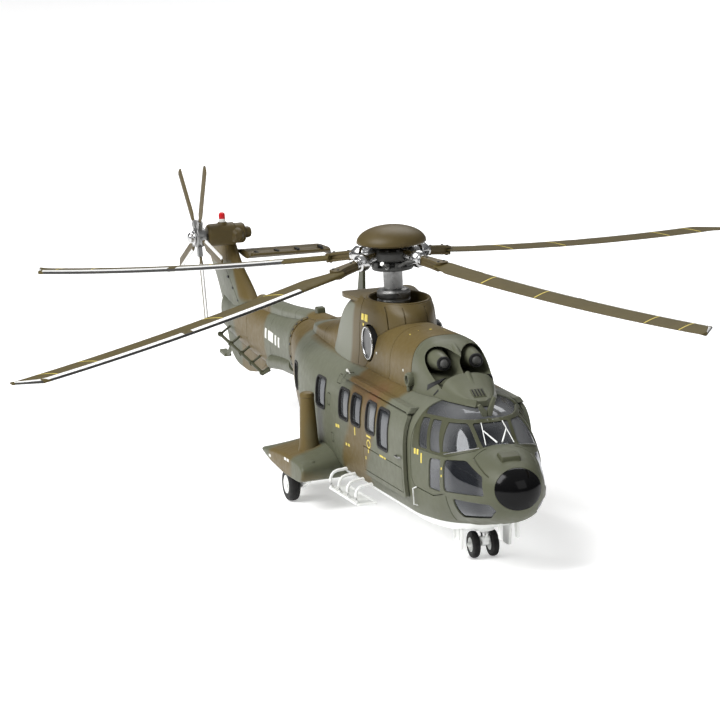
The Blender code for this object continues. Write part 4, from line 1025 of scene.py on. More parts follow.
def rear_aerial():
    blade = prism(rounded([(-29.0, 41.2), (-23.2, 42.0), (-22.0, 51.4), (-25.0, 51.4)], 0.7),
                  -0.35, 0.35)
    foot = prism(rounded([(-30.0, 39.4), (-22.7, 40.6), (-22.7, 42.6), (-30.0, 41.4)], 0.4), -1.1, 1.1)
    place(merge("aerial", [blade, foot]), "rear_blade_aerial", OLIVE_PAINT, "fuselage",
          ["rear_antenna"], bevel=0.18)


def cable_cutter():
    """V-shaped cutter between the windscreens, with two small steel teeth."""
    blades = []
    for side, tip in ((-1, 35.2), (1, 36.6)):
        blades.append(prism([(0.0, 31.2), (side * 0.7, 31.4), (side * 2.1, tip - 0.3),
                             (side * 1.5, tip), (side * 0.1, 33.6)][::side], 63.6, 64.5, "YZ"))
    plate = merge("blades", blades)
    foot = prism([(62.0, 31.8), (66.0, 30.4), (66.2, 31.7), (62.6, 33.2)], -0.45, 0.45)
    place(merge("cutter", [plate, foot]), "cable_cutter", GREEN_PAINT, "fuselage",
          ["wire_cutter"], bevel=0.12)
    teeth = [tube([(65.6, y, 31.9), (66.9, y, 30.6)], 0.2, 10) for y in (-0.5, 0.7)]
    place(merge("teeth", teeth), "cutter_teeth", STEEL, "fuselage")


cowling()
fairing()
mast_fairing()
rear_aerial()
cable_cutter()
for label, hand in SIDES.items():
    bullet(label, hand)
    exhaust(label, hand)


# ---- main rotor -----------------------------------------------------------------------------
def blade_place(index):
    """Frame of one blade: its own X runs out along the blade, +Y is its leading edge."""
    azimuth = math.radians(FIRST_BLADE_AZIMUTH + 90 * index + BLADE_REST[index][0])
    droop = math.radians(BLADE_REST[index][1])
    return (Matrix.Translation((0, 0, HUB_Z)) @ Matrix.Rotation(azimuth, 4, "Z")
            @ Matrix.Rotation(droop, 4, "Y"))


def aerofoil(share):
    """Half thickness at this share of the chord from the leading edge, 1 at the thickest."""
    s = max(share, 0.0)
    return 10.0 * (0.2969 * math.sqrt(s) - 0.126 * s - 0.3516 * s * s + 0.2843 * s ** 3
                   - 0.1015 * s ** 4)


def chord_ends(x):
    """Leading and trailing edge of the blade at x, and its thickness."""
    lead, trail = CHORD * 0.42, CHORD * -0.58
    rows = [(16.7, 2.4, -1.9, 1.4), (18.4, lead * 0.98, -2.2, 1.35), (20.6, lead, trail * 0.75, 1.3),
            (23.5, lead, trail, 1.2), (ROTOR_RADIUS - 4.4, lead, trail, 1.1),
            (ROTOR_RADIUS, trail + 1.4, trail, 0.8)]
    for before, after in zip(rows, rows[1:]):
        if x <= after[0]:
            break
    t = (x - before[0]) / (after[0] - before[0])
    return [a + (b - a) * t for a, b in zip(before[1:], after[1:])]


def blade_point(x, share, side, lift=0.0):
    """A point on the top (side 1) or underside (-1), share 0 leading edge to 1 trailing edge."""
    lead, trail, thickness = chord_ends(x)
    reach = (x - CUFF_END) / (ROTOR_RADIUS - CUFF_END)
    z = BLADE_UPTURN * reach * reach + side * (thickness * 0.46 * aerofoil(share) + 0.03 + lift)
    return Vector((x, lead + (trail - lead) * share, z))


# shares of the chord where the painted shade along the leading edge ends and where the silver strip ends
EDGE_SHARE = 0.03
STRIP_SHARE = 0.17
STRIP_FROM = 30.0           # both start this far out along the blade
STRIP_GAP = (62.0, 64.5)    # the silver strip is broken here
BLADE_MARKS_X = (34.0, 52.0, 88.0, 99.0)


def rotor_blade(name, index):
    shares = [0.0, 0.004, 0.015, EDGE_SHARE, 0.07, 0.11, STRIP_SHARE, 0.22, 0.3, 0.42, 0.55, 0.7,
              0.85, 1.0]
    stations = [16.7, 17.4, 18.4, 19.4, 20.6, 22.0, 23.5]
    step = 2.0
    while stations[-1] + step < ROTOR_RADIUS - 4.4:
        stations.append(stations[-1] + step)
    stations += [ROTOR_RADIUS - 4.4, ROTOR_RADIUS - 3.0, ROTOR_RADIUS - 1.5, ROTOR_RADIUS]
    frame_matrix = blade_place(index)
    rings = []
    for x in stations:
        ring = [blade_point(x, share, 1) for share in shares]
        ring += [blade_point(x, share, -1) for share in reversed(shares)]
        rings.append([frame_matrix @ point for point in ring])
    blade = loft(rings, name)
    place(blade, name, BLADE_PAINT, "main_rotor", ["rotor_" + name], angle=50)

    def patch(first, last, share_from, share_to, slant=0.0, lift=0.035, steps=24):
        """A thin closed sheet over both faces of the blade between two stations."""
        rows = []
        for i in range(steps + 1):
            x = first + (last - first) * i / steps
            row = []
            for k in range(5):
                share = share_from + (share_to - share_from) * k / 4
                row.append(blade_point(min(x + slant * share, ROTOR_RADIUS), share, 1, lift))
            for k in range(5):
                share = share_to + (share_from - share_to) * k / 4
                row.append(blade_point(min(x + slant * share, ROTOR_RADIUS), share, -1, lift))
            rows.append([frame_matrix @ point for point in row])
        return loft(rows, "patch")

    silver = [patch(STRIP_FROM, STRIP_GAP[0], EDGE_SHARE, STRIP_SHARE),
              patch(STRIP_GAP[1], ROTOR_RADIUS - 0.2, EDGE_SHARE, STRIP_SHARE)]
    place(merge("silver", silver), name + "_silver_strip", SILVER_EDGE, "main_rotor",
          angle=60)
    # painted shade: a dark sheet over the front of the chord, where the leading edge falls into shadow
    leading_shade = patch(STRIP_FROM, ROTOR_RADIUS - 0.2, 0.0, EDGE_SHARE, steps=40)
    place(leading_shade, name + "_edge_shade", EDGE_SHADE_PAINT, "main_rotor", angle=60)
    marks = []
    for x in BLADE_MARKS_X:
        marks.append(patch(x, x + 0.32, STRIP_SHARE + 0.02, 0.97, 1.6, 0.03, 1))
    place(merge("marks", marks), name + "_marks", YELLOW_MARK, "main_rotor")


def in_blade_frame(index, things):
    """Carry pieces drawn along +X about the hub centre to their blade, in world metres."""
    lift = Matrix.Translation((0, 0, GROUND_Z))
    scale = Matrix.Scale(MM, 4)
    move = lift @ scale @ blade_place(index) @ (lift @ scale).inverted()
    for thing in things:
        thing.data.transform(move)
    return things


def blade_root(index):
    """Sleeve, clamp and fork between hub and blade, with bolts."""
    sleeve = turned([(1.15, 3.0), (1.2, 7.9), (1.75, 8.2), (1.95, 8.6), (1.95, 9.9), (1.7, 10.4),
                     (1.25, 10.6), (1.25, 11.4)], (0, 0, 0), "X", 40)
    fork = []
    for low, high in ((0.45, 1.0), (-1.0, -0.45)):
        outline = [(10.6, -0.9), (15.2, -1.1), (17.6, -1.5), (18.4, -0.8), (18.4, 1.2), (17.6, 1.9),
                   (15.2, 1.2), (10.6, 0.9)]
        fork.append(prism(rounded(outline, 0.5), low, high, "XY"))
    web = prism([(10.6, -0.8), (16.9, -1.0), (16.9, 1.1), (10.6, 0.8)], -0.44, 0.44, "XY")
    bolts = []
    for x, y in ((12.4, 0.0), (17.2, 0.9), (17.2, -0.7)):
        bolts.append(turned([(0.02, -1.2), (0.3, -1.2), (0.3, 1.12), (0.2, 1.22), (0.02, 1.25)],
                            (x, y, 0), "Z", 20))
    arm = tube([(6.4, -2.9, -2.0), (8.6, -2.7, -0.6), (10.2, -1.4, -0.2)], 0.42, 12)
    in_blade_frame(index, [sleeve] + fork + [web, arm] + bolts)
    return [sleeve], fork + [web], bolts + [arm]


def rotor_head():
    mast = turned([(0.4, 39.4), (2.6, 39.4), (2.6, 46.6), (3.5, 47.2), (3.8, 47.6), (3.8, 48.2),
                   (3.45, 48.35), (3.45, 48.75), (3.8, 48.9), (3.8, 50.0), (3.4, 50.5), (2.3, 50.8),
                   (2.2, 51.2), (2.2, 55.0), (0.4, 55.0)])
    place(mast, "mast_shaft", STEEL, "main_rotor", ["rotor_mast"])
    plate = turned([(0.4, 55.05), (4.5, 55.05), (4.7, 55.25), (4.7, 55.9), (3.4, 56.1), (3.4, 56.6),
                    (0.4, 56.6)])
    teeth = []
    for i in range(10):
        turn = Matrix.Rotation(2 * math.pi * i / 10, 3, "Z")
        tooth = []
        for z in (55.6, 57.0):
            tooth.append([turn @ Vector((x, y, z)) for x, y in ((3.2, -0.6), (4.6, -0.75),
                                                                (4.6, 0.75), (3.2, 0.6))])
        teeth.append(loft(tooth))
    place(merge("plate", [plate] + teeth), "pitch_ring", GREY_PLASTIC, "main_rotor",
          ["swashplate"], bevel=0.08)
    hub = turned([(0.4, 57.15), (4.2, 57.15), (5.2, 57.6), (5.4, 58.0), (5.4, 59.1), (5.0, 59.6),
                  (3.4, 60.0), (0.4, 60.1)])
    bolts = []
    for i in range(12):
        angle = 2 * math.pi * i / 12
        bolts.append(turned([(0.02, 59.4), (0.35, 59.4), (0.35, 59.95), (0.02, 60.0)],
                            (4.5 * math.cos(angle), 4.5 * math.sin(angle), 0), sides=12))
    sleeves, forks, bars = [], [], []
    for index in range(4):
        sleeve, fork, bolt = blade_root(index)
        sleeves += sleeve
        forks += fork
        bars += bolt
    place(merge("hub", [hub] + bolts + bars), "hub_block", GREY_PLASTIC, "main_rotor",
          ["rotor_hub"])
    place(merge("sleeves", sleeves), "blade_sleeves", CHROME, "main_rotor")
    place(merge("forks", forks), "blade_forks", BROWN_PAINT, "main_rotor", bevel=0.1)
    profile = [(0.4, 60.5), (4.6, 60.5), (6.6, 60.75), (7.6, 61.05), (7.9, 61.3)]
    for i in range(1, 24):
        angle = math.radians(90 * i / 24)
        profile.append((7.9 * math.cos(angle), 61.3 + 3.8 * math.sin(angle)))
    profile.append((0.2, 65.1))
    place(turned(profile, sides=96), "dome_cover", BROWN_PAINT, "main_rotor",
          ["hub_dome"])
    links = []
    for k in range(4):
        angle = math.radians(FIRST_BLADE_AZIMUTH + 90 * k + 34)
        foot = Vector((4.2 * math.cos(angle), 4.2 * math.sin(angle), 55.7))
        head = Vector((7.6 * math.cos(angle - 0.1), 7.6 * math.sin(angle - 0.1), 57.5))
        links.append(tube([foot, foot.lerp(head, 0.25), foot.lerp(head, 0.3), foot.lerp(head, 0.7),
                           foot.lerp(head, 0.75), head], [0.5, 0.5, 0.3, 0.3, 0.5, 0.5], 14))
    place(merge("links", links), "pitch_links", STEEL, "main_rotor")


for number, label in enumerate(("nose_port", "port", "aft", "starboard")):
    rotor_blade("blade_" + label, number)
rotor_head()


# ---- tail -----------------------------------------------------------------------------------
def boom_solid(grow=0.0):
    rows = eased(BOOM, 2.0)
    return loft([superellipse(x, half_width + grow, low - grow, high + grow, 80, 2.6)
                 for x, half_width, low, high in rows], "boom")


def keel_solid():
    outline = [(-100, 21.0), (-104, 15.6), (-110, 13.0), (-119, 11.7), (-129, 12.2), (-134.5, 14.4),
               (-138, 21.5)]
    return prism(rounded(outline, 2.5), -1.15, 1.15)


def ring_solid(grow, from_x, to_x):
    return loft([superellipse(x, 7.15 + grow, 19.5 - grow, 34.5 + grow, 80, 2.6)
                 for x in (from_x, to_x)], "ring")


def fin_solid(grow=0.0):
    levels = [(25.0, -110.0, -141.6, 2.5), (31.0, -116.8, -147.0, 2.2), (37.0, -127.6, -152.8, 1.9),
              (42.4, -133.4, -152.0, 1.6)]
    rings = []
    for z, front, rear, half_width in eased(levels, 1.2):
        front, rear, half_width = front + grow, rear - grow, half_width + grow
        port = []
        for i in range(25):
            s = (i / 24) ** 1.6
            width = half_width * (min(aerofoil(s), 1.0) * 0.9 + 0.1 + 0.06 * s)
            port.append(Vector((front - s * (front - rear), width, z)))
        starboard = [Vector((point.x, -point.y, z)) for point in reversed(port)]
        rings.append(port + starboard)
    return loft(rings, "fin")


def tail_boom():
    body = boom_solid()
    combine(body, ring_solid(0, -60.9, -61.9), "UNION")
    combine(body, ring_solid(0, -62.2, -63.2), "UNION")
    combine(body, keel_solid(), "UNION")
    path = [Vector((-66.0, -4.6, 22.4)).lerp(Vector((-90.0, -3.9, 19.3)), i / 10) for i in range(11)]
    combine(body, tube(path, [1.7] * 10 + [1.1], 40), "UNION")
    lines = [box((x, -9, 14), (x + 0.18, 9, 35)) for x in (-88.0, -112.0)]
    lines += walls([(-101.5, 17.2), (-134.0, 19.2)], -1, 0.18, inner=-4, outer=4)
    cut(body, keep(cut(boom_solid(0.5), boom_solid(-0.2)), union(lines)))
    place(body, "boom_skin", CAMOUFLAGE, "fuselage", ["tail_boom"])
    bolts = []
    for i in range(26):
        angle = 2 * math.pi * (i + 0.5) / 26
        ring = superellipse(-61.4, 7.2, 19.45, 34.55, 26, 2.6)[i]
        turn = Vector((0, math.cos(angle), math.sin(angle))).to_track_quat("Z", "X")
        bolts.append(turned([(0.02, -0.3), (0.3, -0.3), (0.3, 0.12), (0.02, 0.16)], ring,
                            turn=turn.to_matrix(), sides=8))
    place(merge("bolts", bolts), "boom_joint_bolts", GREY_PLASTIC, "fuselage")


def spine():
    rows = [(-48.0, 2.6, 36.2), (-62.0, 2.5, 35.6), (-84.0, 2.2, 33.7), (-108.0, 1.8, 32.5)]
    rings = []
    for x, half_width, top in eased(rows, 3.0):
        ring = [Vector((x, half_width, top - 4.8)), Vector((x, -half_width, top - 4.8))]
        for i in range(25):
            angle = math.pi * i / 24
            ring.append(Vector((x, -half_width * math.cos(angle), top - 1.6 + 1.6 * math.sin(angle))))
        rings.append(ring)
    cover = loft(rings)
    cut(cover, boom_solid(0.03))
    cut(cover, hull(0.02))
    cut(cover, ring_solid(0.03, -60.8, -63.3))
    for x in (-72.0, -84.0, -96.0):
        groove = cut(box((x, -4, 26), (x + 0.22, 4, 40)), box((x - 1, -1.6, 26), (x + 1, 1.6, 33.6)))
        cut(cover, keep(groove, box((x - 1, -4, 29), (x + 1, 4, 40))))
    place(cover, "spine_fairing", CAMOUFLAGE, "fuselage", ["spine_cover"])
    bump = prism(rounded([(-60.6, 34.9), (-57.6, 35.0), (-57.9, 37.0), (-60.1, 37.1)], 0.5), -1.0, 1.0)
    place(bump, "spine_bump", OLIVE_PAINT, "fuselage", bevel=0.25)


def fin():
    body = fin_solid()
    cut(body, boom_solid(0.03))
    lines = []
    for path in ([(-121.0, 28.4), (-133.0, 35.6), (-150.0, 37.6)], [(-138.0, 26.0), (-146.0, 39.0)],
                 [(-131.4, 36.0), (-134.8, 42.6)]):
        lines += walls(path, -1, 0.2, inner=-5, outer=5)
    cut(body, keep(cut(fin_solid(0.5), fin_solid(-0.14)), union(lines)))
    place(body, "fin_skin", CAMOUFLAGE, "fuselage", ["tail_fin"])
    bits = []
    for x, z in ((-122.4, 28.9), (-126.6, 31.4), (-130.4, 33.6)):
        for side in SIDES.values():
            bits.append(box((x - 0.5, min(side * 1.9, side * 2.35), z - 0.25),
                            (x + 0.5, max(side * 1.9, side * 2.35), z + 0.25)))
    place(merge("bits", bits), "fin_latches", BLACK_PAINT, "fuselage")


def gearbox():
    z = 44.4
    rows = [(-136.0, 0.8, 43.4, 45.0), (-134.0, 1.6, 42.4, 45.8), (-130.0, 2.0, 42.0, 46.4),
            (-127.4, 1.6, 42.4, 45.8), (-126.4, 0.8, 43.4, 45.0)]
    pod = loft([superellipse(*row, 48, 2.3) for row in eased(rows, 0.8)])
    drum = turned([(0.8, 0.4), (2.8, 0.4), (2.8, 6.3), (2.65, 6.8), (2.2, 7.15), (0.8, 7.2)],
                  (TAIL_HUB.x, 0, z), turn=side_turn(-1))
    block = turned([(0.8, -0.3), (2.5, -0.2), (2.5, 1.9), (2.2, 2.3), (0.8, 2.4)],
                   (TAIL_HUB.x, 0, z), turn=side_turn(1))
    horn = turned([(0.5, 0), (1.4, 0.2), (1.4, 3.3), (1.2, 3.9), (0.8, 4.1), (0.2, 4.15)],
                  (TAIL_HUB.x, 0, z), turn=side_turn(1))
    place(merge("gearbox", [pod, drum, block, horn]), "gearbox_body", BROWN_PAINT, "fuselage",
          ["tail_gearbox_cover"])


def tail_rotor():
    """Five blades with silver leading edges, clamped between two hub plates."""
    blades, edges, clamps = [], [], []
    for k in range(5):
        angle = math.radians(63.4) + 2 * math.pi * k / 5
        turn = Matrix.Rotation(-angle, 3, "Y")

        def section(u, lead, trail, thickness, from_share, to_share, lift):
            ring = []
            count = 12
            for face in (1, -1):
                for i in range(count + 1):
                    t = i / count if face == 1 else 1 - i / count
                    share = from_share + (to_share - from_share) * t
                    v = lead + (trail - lead) * share
                    w = face * (thickness * 0.5 * aerofoil(share) + 0.02 + lift)
                    ring.append(TAIL_HUB + turn @ Vector((u, w, v)))
            return ring

        rows = [(1.8, 0.6, -0.6, 0.6), (5.5, 0.7, -0.7, 0.6), (6.0, 1.1, -1.1, 0.62),
                (6.6, 1.3, -1.5, 0.65), (TAIL_ROTOR_RADIUS - 0.6, 1.3, -1.5, 0.6),
                (TAIL_ROTOR_RADIUS, 0.9, -0.9, 0.4)]
        blades.append(loft([section(*row, 0.0, 1.0, 0.0) for row in rows]))
        edges.append(loft([section(*row, 0.0, 0.22, 0.03) for row in rows[3:]]))
        clamps.append(loft([[TAIL_HUB + turn @ Vector((u, w, v)) for w, v in
                             ((0.55, 0.75), (0.55, -0.75), (-0.55, -0.75), (-0.55, 0.75))]
                            for u in (1.9, 4.8)]))
    place(merge("blades", blades), "tail_blades", BROWN_PAINT, "tail_rotor",
          ["tail_rotor"], angle=60)
    place(merge("edges", edges), "tail_blade_edges", SILVER_EDGE, "tail_rotor", angle=60)
    hub = turned([(0.7, -4.4), (0.7, -1.5), (2.3, -1.4), (2.5, -0.7), (2.5, 0.7), (2.0, 1.0),
                  (0.1, 1.05)], TAIL_HUB, turn=side_turn(-1))
    place(merge("tail_hub", [hub] + clamps), "tail_hub_plates", STEEL, "tail_rotor",
          bevel=0.06)
    cap = turned([(0.1, 1.1), (1.75, 1.1), (1.75, 1.35), (1.3, 1.5), (1.3, 2.2), (1.0, 2.6),
                  (0.5, 2.78), (0.05, 2.8)], TAIL_HUB, turn=side_turn(-1))
    place(cap, "tail_hub_cap", CHROME, "tail_rotor", ["tail_rotor_cap"])


def beacon_lamp():
    centre = (TAIL_HUB.x, -3.1, 0)
    foot = turned([(0.05, 45.8), (1.75, 46.2), (1.6, 46.8), (1.0, 47.5), (0.05, 47.6)], centre)
    place(foot, "beacon_foot", BROWN_PAINT, "fuselage", ["beacon"])
    collar = turned([(0.05, 47.4), (0.85, 47.4), (0.85, 48.3), (0.05, 48.3)], centre)
    place(collar, "beacon_collar", WHITE_PAINT, "fuselage")
    profile = [(0.05, 48.25), (0.8, 48.25), (0.8, 49.2), (0.7, 49.6), (0.4, 49.85), (0.05, 49.9)]
    place(turned(profile, centre), "beacon_lens", RED_LENS, "fuselage")


STABILISER_Z = 39.2


def stabiliser():
    """Tailplane with a fixed slat ahead of it on four dark brackets."""
    def wing(rows, thickness):
        rings = []
        for y, rear, front in rows:
            droop = 0.45 * max(y - 21.0, 0.0)
            ring = []
            for face in (1, -1):
                for i in range(13):
                    s = i / 12 if face == 1 else 1 - i / 12
                    ring.append(Vector((front - s * (front - rear), y, STABILISER_Z - droop + face
                                        * (thickness * aerofoil(s) + 0.06))))
            rings.append(ring)
        return loft(rings)
    plane = wing([(1.9, -136.0, -124.6), (21.8, -135.4, -125.2), (22.8, -135.0, -125.6),
                  (23.5, -134.0, -126.6)], 0.85)
    cut(plane, fin_solid(0.03))
    slat = wing([(2.6, -125.4, -123.0), (22.4, -126.0, -123.7)], 0.34)
    slat.data.transform(Matrix.Translation((0, 0, 0.5 * MM)))
    place(merge("plane", [plane, slat]), "tailplane", BROWN_PAINT, "fuselage",
          ["stabiliser"], angle=50)
    brackets = []
    for y in (3.6, 8.8, 14.0, 20.0):
        outline = [(-126.6, STABILISER_Z - 0.1), (-123.6, STABILISER_Z + 0.2),
                   (-123.8, STABILISER_Z + 1.0), (-126.8, STABILISER_Z + 0.9)]
        brackets.append(prism(rounded(outline, 0.2), y, y + 0.6))
    place(merge("brackets", brackets), "slat_brackets", BLACK_PAINT, "fuselage")


def tail_rail():
    start, end = Vector((-93.2, -5.0, 15.8)), Vector((-130.5, -5.0, 19.6))
    parts = [tube([start + Vector((1.2, 1.4, 1.0)), start + Vector((0.4, 0.4, 0.3)), start,
                   start.lerp(end, 0.5), end], 0.4, 16)]
    for share in (0.02, 0.26, 0.5, 0.74, 0.985):
        foot = start.lerp(end, share)
        parts.append(tube([foot, Vector((foot.x, -2.2, foot.z + 1.9))], 0.3, 12))
        parts.append(turned([(0.05, -0.5), (0.62, -0.45), (0.62, 0.45), (0.05, 0.5)], foot, "X", 20))
    place(merge("rail", parts), "aerial_rail", OLIVE_PAINT, "fuselage", ["tail_rail"])


def tail_skid():
    path = [(-132.0, 0, 16.8), (-135.4, 0, 15.9), (-138.3, 0, 14.6), (-140.4, 0, 12.9), (-141.9, 0, 12.1),
            (-143.4, 0, 11.75), (-145.0, 0, 11.85), (-146.2, 0, 12.3)]
    bar = tube(path, [0.6, 0.6, 0.55, 0.5, 0.5, 0.5, 0.5, 0.45], 18)
    pad = prism(rounded([(-146.4, 11.9), (-141.6, 11.5), (-141.9, 12.3), (-146.2, 12.8)], 0.3), -0.9, 0.9)
    place(merge("skid", [bar, pad]), "skid_hook", GREEN_PAINT, "fuselage",
          ["tail_skid"], bevel=0.08)


tail_boom()
spine()
fin()
gearbox()
tail_rotor()
beacon_lamp()
stabiliser()
tail_rail()
tail_skid()


# ---- undercarriage --------------------------------------------------------------------------
TYRE_MAIN = (3.9, 2.6)
TYRE_NOSE = (3.0, 1.7)
STRUT_X = -15.5
STRUT_Y = 17.0
SPONSON_ROOT = [(-5.4, 9.6), (-5.9, 11.6), (-8.0, 13.4), (-13.0, 14.5), (-22.0, 14.2), (-34.0, 11.8),
                (-37.4, 10.2), (-30.0, 7.4), (-18.0, 6.3), (-9.0, 6.5), (-6.2, 7.6)]
SPONSON_TIP = [(-3.0, 9.0), (-3.5, 10.4), (-5.4, 11.3), (-11.0, 11.6), (-21.0, 11.4), (-33.0, 10.4),
               (-37.4, 9.7), (-30.0, 7.8), (-18.0, 6.6), (-7.0, 6.7), (-4.0, 7.5)]
SPONSON_TIP_Y = 22.6


def sponson(side_name, side):
    """Stub wing with a rounded tip edge, strut housing and wheel well."""
    rings = []
    levels = [(9.0, 0.0), (12.0, 0.0), (16.0, 0.0), (20.0, 0.0)]
    edge = 0.9
    for i in range(6):
        angle = math.radians(90 * i / 5)
        levels.append((SPONSON_TIP_Y - edge + edge * math.sin(angle), edge * (1 - math.cos(angle))))
    for y, inset in levels:
        share = (y - 12.1) / (SPONSON_TIP_Y - 12.1)
        outline = []
        for root, tip in zip(SPONSON_ROOT, SPONSON_TIP):
            outline.append((root[0] + (tip[0] - root[0]) * share, root[1] + (tip[1] - root[1]) * share))
        if inset:
            outline = grown(outline, -inset * 0.8)
        rings.append([Vector((x, side * y, z)) for x, z in rounded(outline, 2.4, 6)])
    body = loft(rings)
    profile = [(3.1, 11.0), (2.7, 12.0), (2.35, 13.2), (2.1, 15.0), (1.95, 18.0), (1.75, 22.0),
               (1.62, 24.6), (1.7, 24.7), (1.7, 25.1), (1.5, 25.6), (1.0, 25.85), (0.1, 25.9)]
    strut = turned(profile, (STRUT_X, side * STRUT_Y, 0))
    combine(body, strut, "UNION")
    cut(body, hull(0.03))
    radius, width = TYRE_MAIN
    inner, outer = side * (MAIN_AXLE.y - width / 2 - 2.0), side * (MAIN_AXLE.y + width / 2 + 0.35)
    low, high = sorted((inner, outer))
    cut(body, turned([(radius + 0.6, low), (radius + 0.6, high)], (MAIN_AXLE.x, 0, MAIN_AXLE.z),
                     turn=side_turn(1), sides=72))
    slot_outer = side * (MAIN_AXLE.y - width / 2 - 0.1)
    cut(body, box((-19.0, min(inner, slot_outer), 5.0), (-11.4, max(inner, slot_outer), 7.4)))
    place(body, "sponson_skin_" + side_name, CAMOUFLAGE, "fuselage",
          ["sponson_" + side_name])
    lamp = turned([(0.05, -0.3), (0.85, -0.3), (0.85, 0.2), (0.6, 0.6), (0.05, 0.75)],
                  (-6.0, side * 19.2, 11.1), sides=32)
    place(lamp, "sponson_light_" + side_name, WHITE_MARK if side > 0 else GREEN_PAINT, "fuselage")


def tyre(name, centre, size, body, node):
    """Tyre with round shoulders, a raised bead ring and four tread grooves."""
    radius, width = size
    half = width / 2
    bore = radius * 0.56
    profile = [(bore, -half * 0.9), (bore + 0.12, -half * 0.98), (bore + 0.3, -half * 0.93)]
    shoulder = radius - bore - 0.3
    points = []
    for i in range(13):
        angle = math.radians(-90 + 180 * i / 12)
        lift = abs(math.cos(angle)) ** 0.45
        points.append((bore + 0.3 + shoulder * lift, half * math.sin(angle)))
    profile += points[1:-1]
    profile += [(bore + 0.3, half * 0.93), (bore + 0.12, half * 0.98), (bore, half * 0.9)]
    wheel = turned(profile, centre, "Y", 72, closed=True)
    for share in (-0.45, -0.15, 0.15, 0.45):
        y = centre[1] + half * share
        groove = turned([(radius - 0.16, y - 0.07), (radius + 1, y - 0.07), (radius + 1, y + 0.07),
                         (radius - 0.16, y + 0.07)], (centre[0], 0, centre[2]), turn=side_turn(1),
                        sides=72, closed=True)
        cut(wheel, groove)
    place(wheel, name, RUBBER, body, [node], angle=40)


def rim(name, centre, size, axle_radius, body, node, side):
    """Dished hub with a stepped face and bolts round the axle."""
    radius, width = size
    half = width / 2
    outer = radius * 0.56 - 0.06
    profile = [(axle_radius + 0.12, -half + 0.1), (outer, -half + 0.1), (outer, half - 0.1),
               (outer - 0.18, half - 0.02), (outer - 0.34, half - 0.16), (outer - 0.5, half - 0.5),
               (axle_radius + 0.5, half - 0.42), (axle_radius + 0.12, half - 0.3)]
    parts = [turned(profile, centre, turn=side_turn(side), closed=True)]
    for i in range(6):
        angle = 2 * math.pi * i / 6
        spot = Vector(centre) + Vector(((outer + axle_radius) * 0.5 * math.cos(angle), 0,
                                        (outer + axle_radius) * 0.5 * math.sin(angle)))
        parts.append(turned([(0.02, half - 0.6), (0.13, half - 0.6), (0.13, half - 0.32), (0.02, half - 0.3)],
                            spot, turn=side_turn(side), sides=10))
    place(merge("rim", parts), name, WHITE_PAINT, body, [node])


def nose_leg():
    """Chromed oleo in a white housing, torque link and axle; it turns as one."""
    x, z = NOSE_SWIVEL_X, NOSE_AXLE.z
    housing = turned([(1.1, 2.9), (1.1, 6.0), (0.05, 6.0), (0.05, 2.7), (1.0, 2.7)][::-1], (x, 0, z))
    collar = turned([(0.05, 1.0), (1.25, 1.0), (1.25, 1.7), (1.05, 1.9), (0.05, 1.9)], (x, 0, z))
    arm = prism(rounded([(NOSE_AXLE.x - 1.0, 2.1), (x + 1.0, 3.2), (x + 1.0, 4.5), (NOSE_AXLE.x - 1.0, 4.0)],
                        0.4), -0.8, 0.8)
    axle = tube([(NOSE_AXLE.x, -3.5, z), (NOSE_AXLE.x, -3.3, z), (NOSE_AXLE.x, 3.3, z),
                 (NOSE_AXLE.x, 3.5, z)], [0.4, 0.52, 0.52, 0.4], 24)
    link = tube([(x + 0.9, 0, z + 1.6), (x + 2.1, 0, z + 2.9), (x + 1.0, 0, z + 4.2)], 0.28, 12)
    place(merge("nose", [housing, collar, arm, axle, link]), "nose_leg_parts", WHITE_PAINT, "nose_leg",
          ["nose_leg"], bevel=0.06)
    oleo = turned([(0.05, 1.7), (0.8, 1.7), (0.8, 3.0), (0.05, 3.0)], (x, 0, z))
    place(oleo, "nose_oleo", CHROME, "nose_leg")


def main_leg(side_name, side):
    inner = MAIN_AXLE.y - TYRE_MAIN[1] / 2 - 1.5
    outer = MAIN_AXLE.y - TYRE_MAIN[1] / 2 - 0.4
    outline = [(-21.6, 2.9), (-19.2, 2.9), (-13.6, 5.0), (-12.4, 6.4), (-14.0, 6.6), (-21.6, 5.2)]
    arm = prism(rounded(outline, 0.8), side * inner, side * outer)
    pin = turned([(0.05, outer - 0.3), (0.66, outer - 0.3), (0.66, MAIN_AXLE.y + 1.35),
                  (0.45, MAIN_AXLE.y + 1.5), (0.05, MAIN_AXLE.y + 1.5)],
                 (MAIN_AXLE.x, 0, MAIN_AXLE.z), turn=side_turn(side))
    cap = turned([(0.05, outer - 1.6), (1.0, outer - 1.6), (1.0, outer - 0.9), (0.05, outer - 0.9)],
                 (MAIN_AXLE.x, 0, MAIN_AXLE.z), turn=side_turn(side))
    place(merge("leg", [arm, pin, cap]), "trailing_arm_" + side_name, WHITE_PAINT, "fuselage",
          ["main_leg_" + side_name], bevel=0.1)


